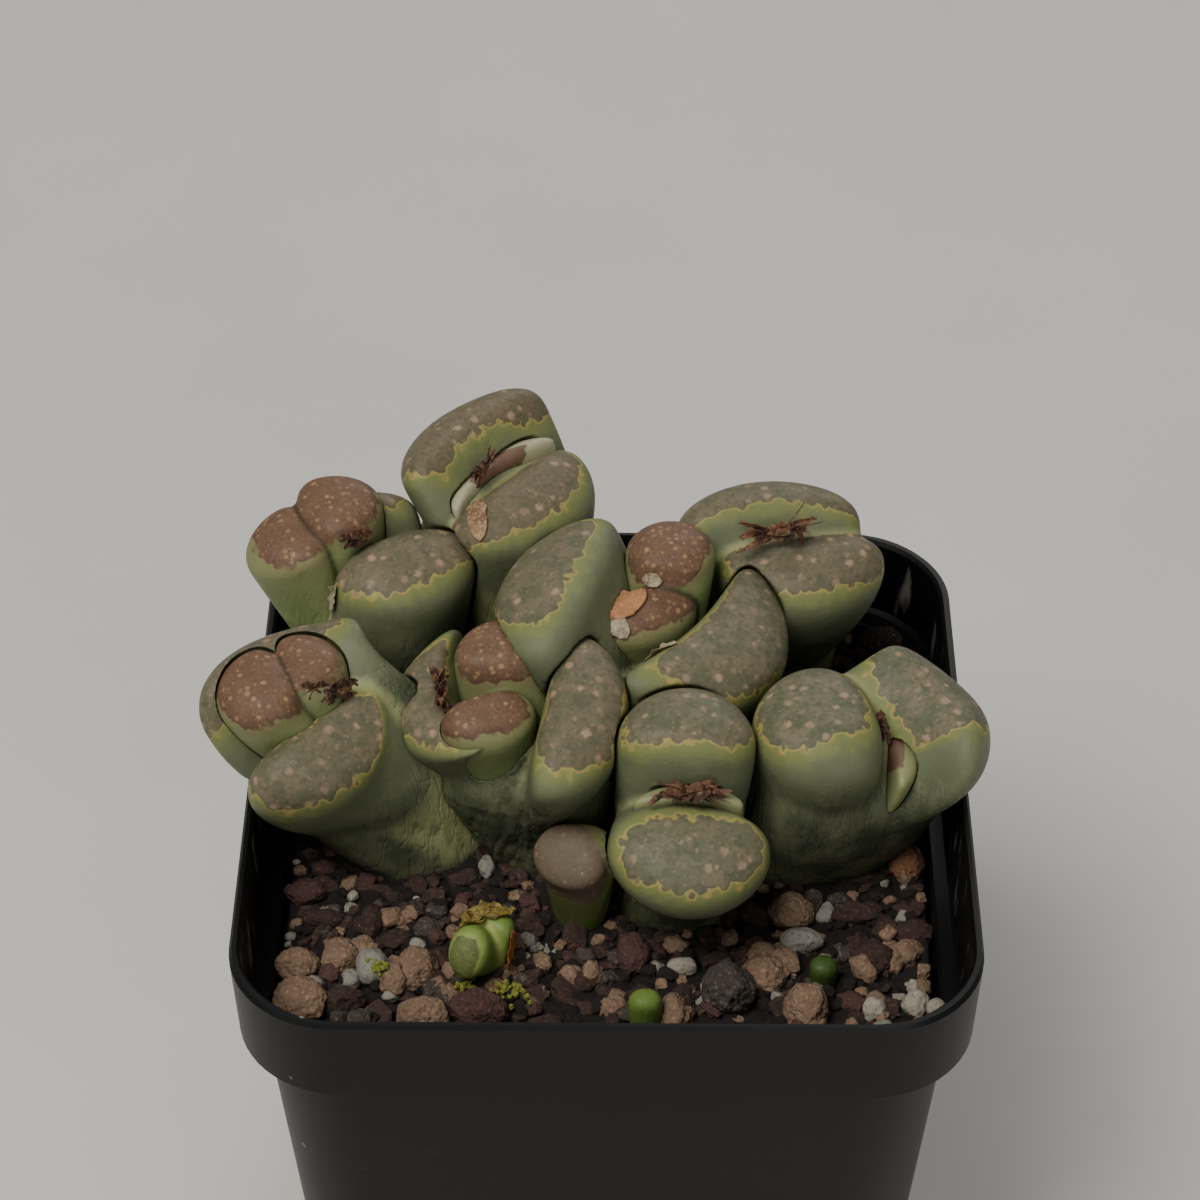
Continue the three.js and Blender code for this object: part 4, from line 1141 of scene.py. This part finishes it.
def pebble_shape(number):
    """A worn pebble with a few dozen faces."""
    only_object_mode()
    bpy.ops.mesh.primitive_ico_sphere_add(subdivisions=3, radius=0.62)
    shape = bpy.context.object
    for vertex in shape.data.vertices:
        vertex.co *= 1 + noise.fractal(vertex.co * 2.2 + Vector((number * 5, 0, 0)), 0.9, 2.0, 3) * 0.28
    shape.data.shade_smooth()
    shape.name = f"pebble_shape_{number}"
    return shape


chips = [chip_shape(number) for number in range(8)]
pebbles = [pebble_shape(number) for number in range(6)]
# Kind, shapes, number, smallest and largest size, length and thickness against width.
SCATTER = [
    ("bark", chips, 620, 0.7, 2.0, 1.5, 0.55), ("bark", chips, 170, 0.6, 1.3, 3.4, 0.6), ("crumb", chips, 900, 0.5, 1.5, 1.2, 0.8),
    ("pumice", chips, 170, 0.5, 1.5, 1.2, 0.85), ("pumice", pebbles, 190, 1.1, 3.0, 1.25, 0.8),
    ("lava", chips, 90, 0.5, 1.8, 1.2, 0.85), ("lava", pebbles, 40, 1.1, 2.8, 1.2, 0.8),
    ("grey", chips, 60, 0.5, 1.3, 1.2, 0.8), ("grey", pebbles, 45, 1.0, 2.4, 1.2, 0.8),
    ("perlite", pebbles, 40, 0.6, 1.7, 1.1, 0.9), ("dark", chips, 110, 0.6, 1.9, 1.2, 0.8), ("dark", pebbles, 50, 1.0, 2.4, 1.2, 0.8),
]
EDGE_ROOM = body_high - WALL - 1.3


def scatter(kind, shapes, count, small, large, long, thin):
    """Chips of one kind, dropped at seeded places on the free ground."""
    made = []
    for _ in range(count):
        size = small + (large - small) * soil_random.random() ** 1.8
        room = EDGE_ROOM + 0.6 - size * long / 2
        x, y = (soil_random.uniform(-room, room) for _ in range(2))
        level = ground(x, y)
        if level is None:
            continue
        lift = Matrix.Translation(Vector((x, y, level + size * thin * soil_random.uniform(0.0, 0.4))) * MM)
        tilt = Matrix.Rotation(soil_random.uniform(-0.5, 0.5), 4, "X") @ Matrix.Rotation(soil_random.uniform(-0.4, 0.4), 4, "Y")
        turn = Matrix.Rotation(soil_random.uniform(0, math.tau), 4, "Z")
        scale = Matrix.Diagonal((size * long * MM, size * MM, size * thin * MM, 1))
        copy = bpy.data.objects.new(f"{kind}_chip", soil_random.choice(shapes).data.copy())
        copy.data.transform(lift @ turn @ tilt @ scale)
        bpy.context.collection.objects.link(copy)
        made.append(copy)
    return made


for rule in SCATTER:
    KINDS[rule[0]] = KINDS.get(rule[0], []) + scatter(*rule)
remove(chips + pebbles)
gravel = {kind: join(pieces, f"{kind}_grit") for kind, pieces in KINDS.items()}
for piece in gravel.values():
    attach(piece, "root")
print("grit:", {piece.name: len(piece.data.polygons) for piece in gravel.values()})

# %% [markdown]
# ## Grit materials
# Dry mineral grit is very matt. Pumice is tan with pores darkened as painted shade, lava a dull brick, perlite
# chalk white, bark a flaky brown darkened further as painted shade. One function makes them all from two colours and a
# pore.

# %% Grit material


def grit(name, light, dark, pore, fleck, fleck_size=0.5):
    """Matt stone: two tones, pores darkened with painted shade, and flecks of another colour."""
    material, tree, where = fresh(name)
    tint = mix(tree, grain(tree, where, 3.5, 4), hexed(light), hexed(dark))
    tint = mix(tree, ramp(tree, grain(tree, where, fleck_size, 3), 0.54, 0.70, 0.0, 0.5), tint, hexed(fleck))
    holes = grain(tree, where, pore, kind="ShaderNodeTexVoronoi")
    # Painted shade: the pits of the pore bump are darkened.
    tint = mix(tree, ramp(tree, holes, 0.28, 0.10, 0.0, 0.42), tint, hexed("2A2018"))
    relief = calc(tree, "MULTIPLY_ADD", grain(tree, where, pore, 4), 0.8, holes)
    bump = add(tree, "ShaderNodeBump", {"Height": relief, "Strength": 0.8, "Distance": 0.00025}).outputs["Normal"]
    finish(tree, tint, 0.92, bump, IOR=1.45)
    return material


# Bark chips, humus crumbs and dark gritstone are partly their own dark brown and partly darkened further as painted
# shade of the soil inside the pot.
GRITS = {
    "pumice": ("tan_pumice", "8A725C", "614C3D", 0.55, "A8937A"), "lava": ("brick_lava", "553A35", "382623", 0.5, "6E5046"),
    "grey": ("pale_limestone", "908C82", "6E6A62", 0.9, "4F4C46"), "dark": ("dark_gritstone", "4A423B", "302A26", 0.5, "7C7063"),
    "perlite": ("white_perlite", "A39D8F", "837D70", 0.7, "BBB5A8"), "bark": ("brown_bark", "42302A", "241915", 0.9, "6A4E3A"),
    "orange": ("orange_sandstone", "8F6547", "6E4B38", 0.6, "A98260"), "crumb": ("dark_humus_and_painted_shade", "1E1612", "120E0B", 0.7, "32261E"),
}
for kind, piece in gravel.items():
    paint(piece, grit(*GRITS[kind]))
# The compost's near-black is partly its own colour and partly painted shade.
paint(soil, grit("bark_compost", "18120F", "0F0B0A", 0.9, "2A211B", 0.8))
print("grit materials:", [p.active_material.name for p in gravel.values()])

# %% [markdown]
# ## Withered flowers
# A living stone flowers once a year from the middle of the fissure. What is left is a
# brown twist: a short stalk, the dry seed cup, and a bunch of petals that curled up like
# burnt paper. Each petal is a narrow grid, bent along its length and cupped across it,
# with a rim of thickness; threads of dried anthers stick out between them.

# %% Withered flower pieces
dry_random = random.Random(23)


def ribbon(name, length, width, thick, curl, cup, twist, steps=14, across=4):
    """A dried petal along +X: tapered, curled up, cupped and twisted."""
    only_object_mode()
    bpy.ops.mesh.primitive_grid_add(x_subdivisions=steps, y_subdivisions=across, size=1)
    piece = bpy.context.object
    piece.name = name
    wander = Vector((dry_random.uniform(0, 50), 0, 0))
    for vertex in piece.data.vertices:
        share, side = vertex.co.x + 0.5, vertex.co.y * 2
        taper = math.sin(math.pi * (0.12 + 0.84 * share)) ** 0.6
        crumple = noise.noise(Vector((share * 4.5, side * 1.2, 0)) + wander) * 0.35
        bend = curl * share * share
        along = length * share * (1 - 0.22 * abs(curl) * share)
        y = side * width / 2 * taper * (1 + crumple)
        z = length * share * math.sin(bend) * 0.6 + cup * width * side * side * taper + crumple * width * 0.5
        roll = twist * share
        y, z = y * math.cos(roll) - z * math.sin(roll) * 0.4, z * math.cos(roll) + y * math.sin(roll)
        vertex.co = Vector((along, y, z)) * MM
    modify(piece, "SOLIDIFY", thickness=thick * MM, offset=0)
    modify(piece, "SUBSURF", levels=1)
    return piece


def aim(piece, place, turn, tilt, roll=0.0):
    """Turns a piece that lies along +X and moves it, in its mesh."""
    matrix = (Matrix.Translation(Vector(place) * MM) @ Matrix.Rotation(turn, 4, "Z")
              @ Matrix.Rotation(-tilt, 4, "Y") @ Matrix.Rotation(roll, 4, "X"))
    piece.data.transform(matrix)
    return piece


def squeeze(piece, low, high):
    """Fits a joined piece into a box, so that it stands for its solid and no more."""
    points = np.empty(len(piece.data.vertices) * 3)
    piece.data.vertices.foreach_get("co", points)
    points = points.reshape(-1, 3)
    had_low, had_high = points.min(0), points.max(0)
    share = (points - had_low) / (had_high - had_low)
    points = np.array(low) + share * (np.array(high) - np.array(low))
    piece.data.vertices.foreach_set("co", points.ravel())
    piece.data.update()


def withered(node, turn, petals, threads, width):
    """A dried flower in the box of its solid."""
    low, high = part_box(node)
    size = (high - low) / MM
    length = max(size.x, size.y) * 0.55
    parts = []
    for number in range(petals):
        side = 0 if number % 2 else math.pi
        petal = ribbon(f"petal_{number}", length * dry_random.uniform(0.6, 1.1), width * dry_random.uniform(0.6, 1.5),
                       0.10, dry_random.uniform(-0.5, 1.5), dry_random.uniform(-0.4, 0.7), dry_random.uniform(-3.2, 3.2))
        spread = length * 0.35
        start = Vector((math.cos(turn), math.sin(turn), 0)) * dry_random.uniform(-spread, spread)
        parts.append(aim(petal, start + Vector((dry_random.uniform(-0.4, 0.4), dry_random.uniform(-0.4, 0.4), dry_random.uniform(-0.2, 0.6))),
                         turn + side + dry_random.uniform(-0.5, 0.5), dry_random.uniform(-0.25, 0.55),
                         dry_random.uniform(-1.4, 1.4)))
    for number in range(threads):
        thread = ribbon(f"thread_{number}", length * dry_random.uniform(0.7, 1.2), 0.28, 0.2,
                        dry_random.uniform(-1.2, 1.4), 0.0, dry_random.uniform(-2, 2), 12, 1)
        parts.append(aim(thread, (0, 0, 0.2), turn + dry_random.choice((0, math.pi)) + dry_random.uniform(-0.7, 0.7),
                         dry_random.uniform(-0.3, 0.8)))
    only_object_mode()
    bpy.ops.mesh.primitive_ico_sphere_add(subdivisions=3, radius=0.9 * MM)
    cup = bpy.context.object
    for vertex in cup.data.vertices:
        vertex.co *= 1 + noise.fractal(vertex.co * 1400, 1, 2, 3) * 0.3
    parts.append(cup)
    flower = join(parts, "withered_" + node)
    squeeze(flower, low, high)
    flower.data.shade_smooth()
    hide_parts(node)
    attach(flower, "root")
    return flower


WITHERED = [
    ("flower_back", math.radians(50), 8, 7, 1.0), ("flower_back_left", math.radians(40), 16, 3, 1.4),
    ("flower_left", math.radians(28), 15, 4, 1.2), ("flower_mid_left", math.radians(98), 22, 3, 1.8),
    ("flower_back_right", math.radians(14), 18, 6, 1.3), ("flower_front", math.radians(0), 22, 4, 1.4),
    ("flower_right", math.radians(100), 14, 3, 1.2),
]
flowers = [withered(*row) for row in WITHERED]
print("withered flowers:", [(f.name, len(f.data.polygons)) for f in flowers])

# %% [markdown]
# ## Dried skins
# Old leaves end as paper. Torn bits of it cling to the plants: each is a ragged sheet
# that is laid on the leaf under it, point by point, then crumpled, lifted at its edges
# and given a thickness.

# %% Laying ragged sheets on the leaves
skin_tree = BVHTree.FromPolygons(*gathered(bodies + pale_lips + seedlings))


def papery(name, at, toward, length, width, lift, ragged=0.18, thick=0.12, rise=0.25, steps=34):
    """A ragged dried sheet, centred near a point, its length along a direction."""
    only_object_mode()
    bpy.ops.mesh.primitive_grid_add(x_subdivisions=steps, y_subdivisions=max(8, int(steps * width / length)), size=1)
    piece = bpy.context.object
    piece.name = name
    centre, normal, *_ = skin_tree.find_nearest(Vector(at) * MM)
    along = Vector(toward).normalized()
    along = (along - normal * along.dot(normal)).normalized()
    side = normal.cross(along)
    seed = Vector((length * 3.1, width * 5.7, at[0]))
    for vertex in piece.data.vertices:
        share, across = vertex.co.x * 2, vertex.co.y * 2
        edge = max(0.12, 1 - abs(share) ** 3) * (1 + noise.fractal(Vector((share * 2.5, across * 0.6, 0)) + seed, 0.8, 2, 4) * ragged)
        tip = 1 + noise.noise(Vector((across * 3.0, 0, 1)) + seed) * ragged
        flat = centre + (along * share * length / 2 * tip + side * across * width / 2 * edge) * MM
        spot, out, *_ = skin_tree.find_nearest(flat)
        wave = noise.fractal(Vector((share * 2.2, across * 1.6, 4)) + seed, 0.8, 2, 3)
        border = max(abs(share), abs(across)) ** 3
        vertex.co = spot + out.lerp(normal, 0.5).normalized() * (rise + lift * (0.35 * abs(wave) + border * 0.5 * (0.6 + wave))) * MM
    modify(piece, "SOLIDIFY", thickness=thick * MM, offset=0)
    modify(piece, "SUBSURF", levels=1)
    piece.data.shade_smooth()
    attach(piece, "root")
    return piece


# Place, direction, length, width, lift of the edges: all in mm.
tongue = papery("dried_tongue_back", (-16.9, 26.2, 98.0), (0.12, -0.82, -0.55), 7.4, 2.6, 0.5)
patch = papery("dried_patch_centre", (2.0, 13.7, 95.2), (0.6, 0.72, 0.1), 6.8, 4.4, 0.35, 0.08, 0.3)
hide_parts("scrap_back")
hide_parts("scrap_centre")
flakes = [
    papery("flake_back_left", (-35.0, 18.4, 91.0), (0.1, 0.2, -1), 5.0, 2.0, 0.8),
    papery("scab_centre_high", (5.4, 17.0, 95.4), (1, 0.2, 0), 2.6, 2.0, 0.3),
    papery("scab_centre_low", (1.4, 10.4, 93.1), (0.5, -0.3, -0.8), 3.2, 2.4, 0.4),
    papery("membrane_centre", (5.2, 7.2, 92.6), (0.82, -0.55, 0.2), 8.4, 2.2, 0.7),
    papery("skin_front_side", (1.6, -18.0, 78.0), (0.25, 0.35, -1), 13.0, 1.0, 0.4, 0.35),
]
rotten = [
    papery("rotten_skin_high", (-14.2, -20.4, 74.2), (1, 0.35, 0.1), 6.6, 3.4, 1.5, 0.4),
    papery("rotten_skin_left", (-16.0, -21.8, 72.6), (0.3, 0.2, -1), 4.8, 2.6, 1.2, 0.4),
]
strip = papery("orange_strip", (-11.4, -24.0, 70.4), (0.15, -0.3, -1), 7.0, 1.3, 0.9, 0.3)
print("papery pieces:", [p.name for p in [tongue, patch, strip] + flakes + rotten])

# %% [markdown]
# ## Moss
# Two specks of yellow-green moss sit by the rotting seedling and one on a pale stone.
# Each is a heap of tiny noisy spheres.

# %% Moss tufts


def moss(name, x, y, z, spread, count):
    """A little heap of moss."""
    parts = []
    for _ in range(count):
        only_object_mode()
        place = Vector([dry_random.gauss(0, spread) for _ in range(2)] + [abs(dry_random.gauss(0, spread * 0.5))])
        bpy.ops.mesh.primitive_ico_sphere_add(subdivisions=2, radius=dry_random.uniform(0.22, 0.48) * MM)
        tuft = bpy.context.object
        for vertex in tuft.data.vertices:
            vertex.co *= 1 + noise.noise(vertex.co * 5200 + place * 9) * 0.55
        tuft.data.transform(Matrix.Translation((Vector((x, y, z)) + place) * MM))
        tuft.location = (0, 0, 0)
        parts.append(tuft)
    heap = join(parts, name)
    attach(heap, "root")
    return heap


tufts = [moss("moss_left", -17.3, -27.2, 67.3, 0.8, 26), moss("moss_right", -11.8, -28.3, 67.8, 0.9, 30),
         moss("moss_on_stone", -27.9, -25.4, 69.2, 0.6, 16)]
print("moss:", [len(t.data.polygons) for t in tufts])

# %% [markdown]
# ## Materials of what is dry
# Withered petals are dark brown with straw-coloured edges; dry skin is straw to white,
# thin enough to glow a little.

# %% Dry materials


def dry(name, light, dark, vein, rough=0.8):
    """Dry plant matter: blotches, fine fibres and a crinkled surface."""
    material, tree, where = fresh(name)
    tint = mix(tree, ramp(tree, grain(tree, where, 2.2, 4), 0.35, 0.65), hexed(dark), hexed(light))
    fibres = grain(tree, add(tree, "ShaderNodeMapping", {"Vector": where, "Scale": (1, 1, 0.3)}).outputs["Vector"], 0.35, 3)
    tint = mix(tree, ramp(tree, fibres, 0.5, 0.7, 0.0, 0.7), tint, hexed(vein))
    bump = add(tree, "ShaderNodeBump", {"Height": fibres, "Strength": 0.6, "Distance": 0.00018}).outputs["Normal"]
    finish(tree, tint, rough, bump, Subsurface_Weight=0.08, Subsurface_Scale=0.0005)
    return material


petal_skin = dry("withered_petals", "6C4A34", "2C1D16", "98744F")
straw = dry("straw_dry_skin", "A08460", "705238", "BFA47C", 0.7)
peach = dry("peach_dry_skin", "B57E52", "9A6842", "C9986A", 0.65)
for flower in flowers:
    paint(flower, petal_skin)
paint(tongue, straw)
paint(patch, peach)
for piece in flakes:
    paint(piece, dry("pale_dry_skin", "A79A80", "7E7058", "C4BBA4", 0.65) if piece is flakes[0] else flakes[0].active_material)
for piece in rotten:
    paint(piece, dry("rotten_yellow_skin", "8A7A34", "4A3A20", "A89A4A", 0.6) if piece is rotten[0] else rotten[0].active_material)
paint(strip, dry("orange_dry_strip", "A8662C", "7A4420", "C08A44", 0.6))
green, tree, where = fresh("yellow_green_moss")
tint = mix(tree, grain(tree, where, 0.8, 3), hexed("5E6420"), hexed("8A8C38"))
finish(tree, tint, 0.9)
for tuft in tufts:
    paint(tuft, green)
print("dry materials:", petal_skin.name, straw.name, peach.name)
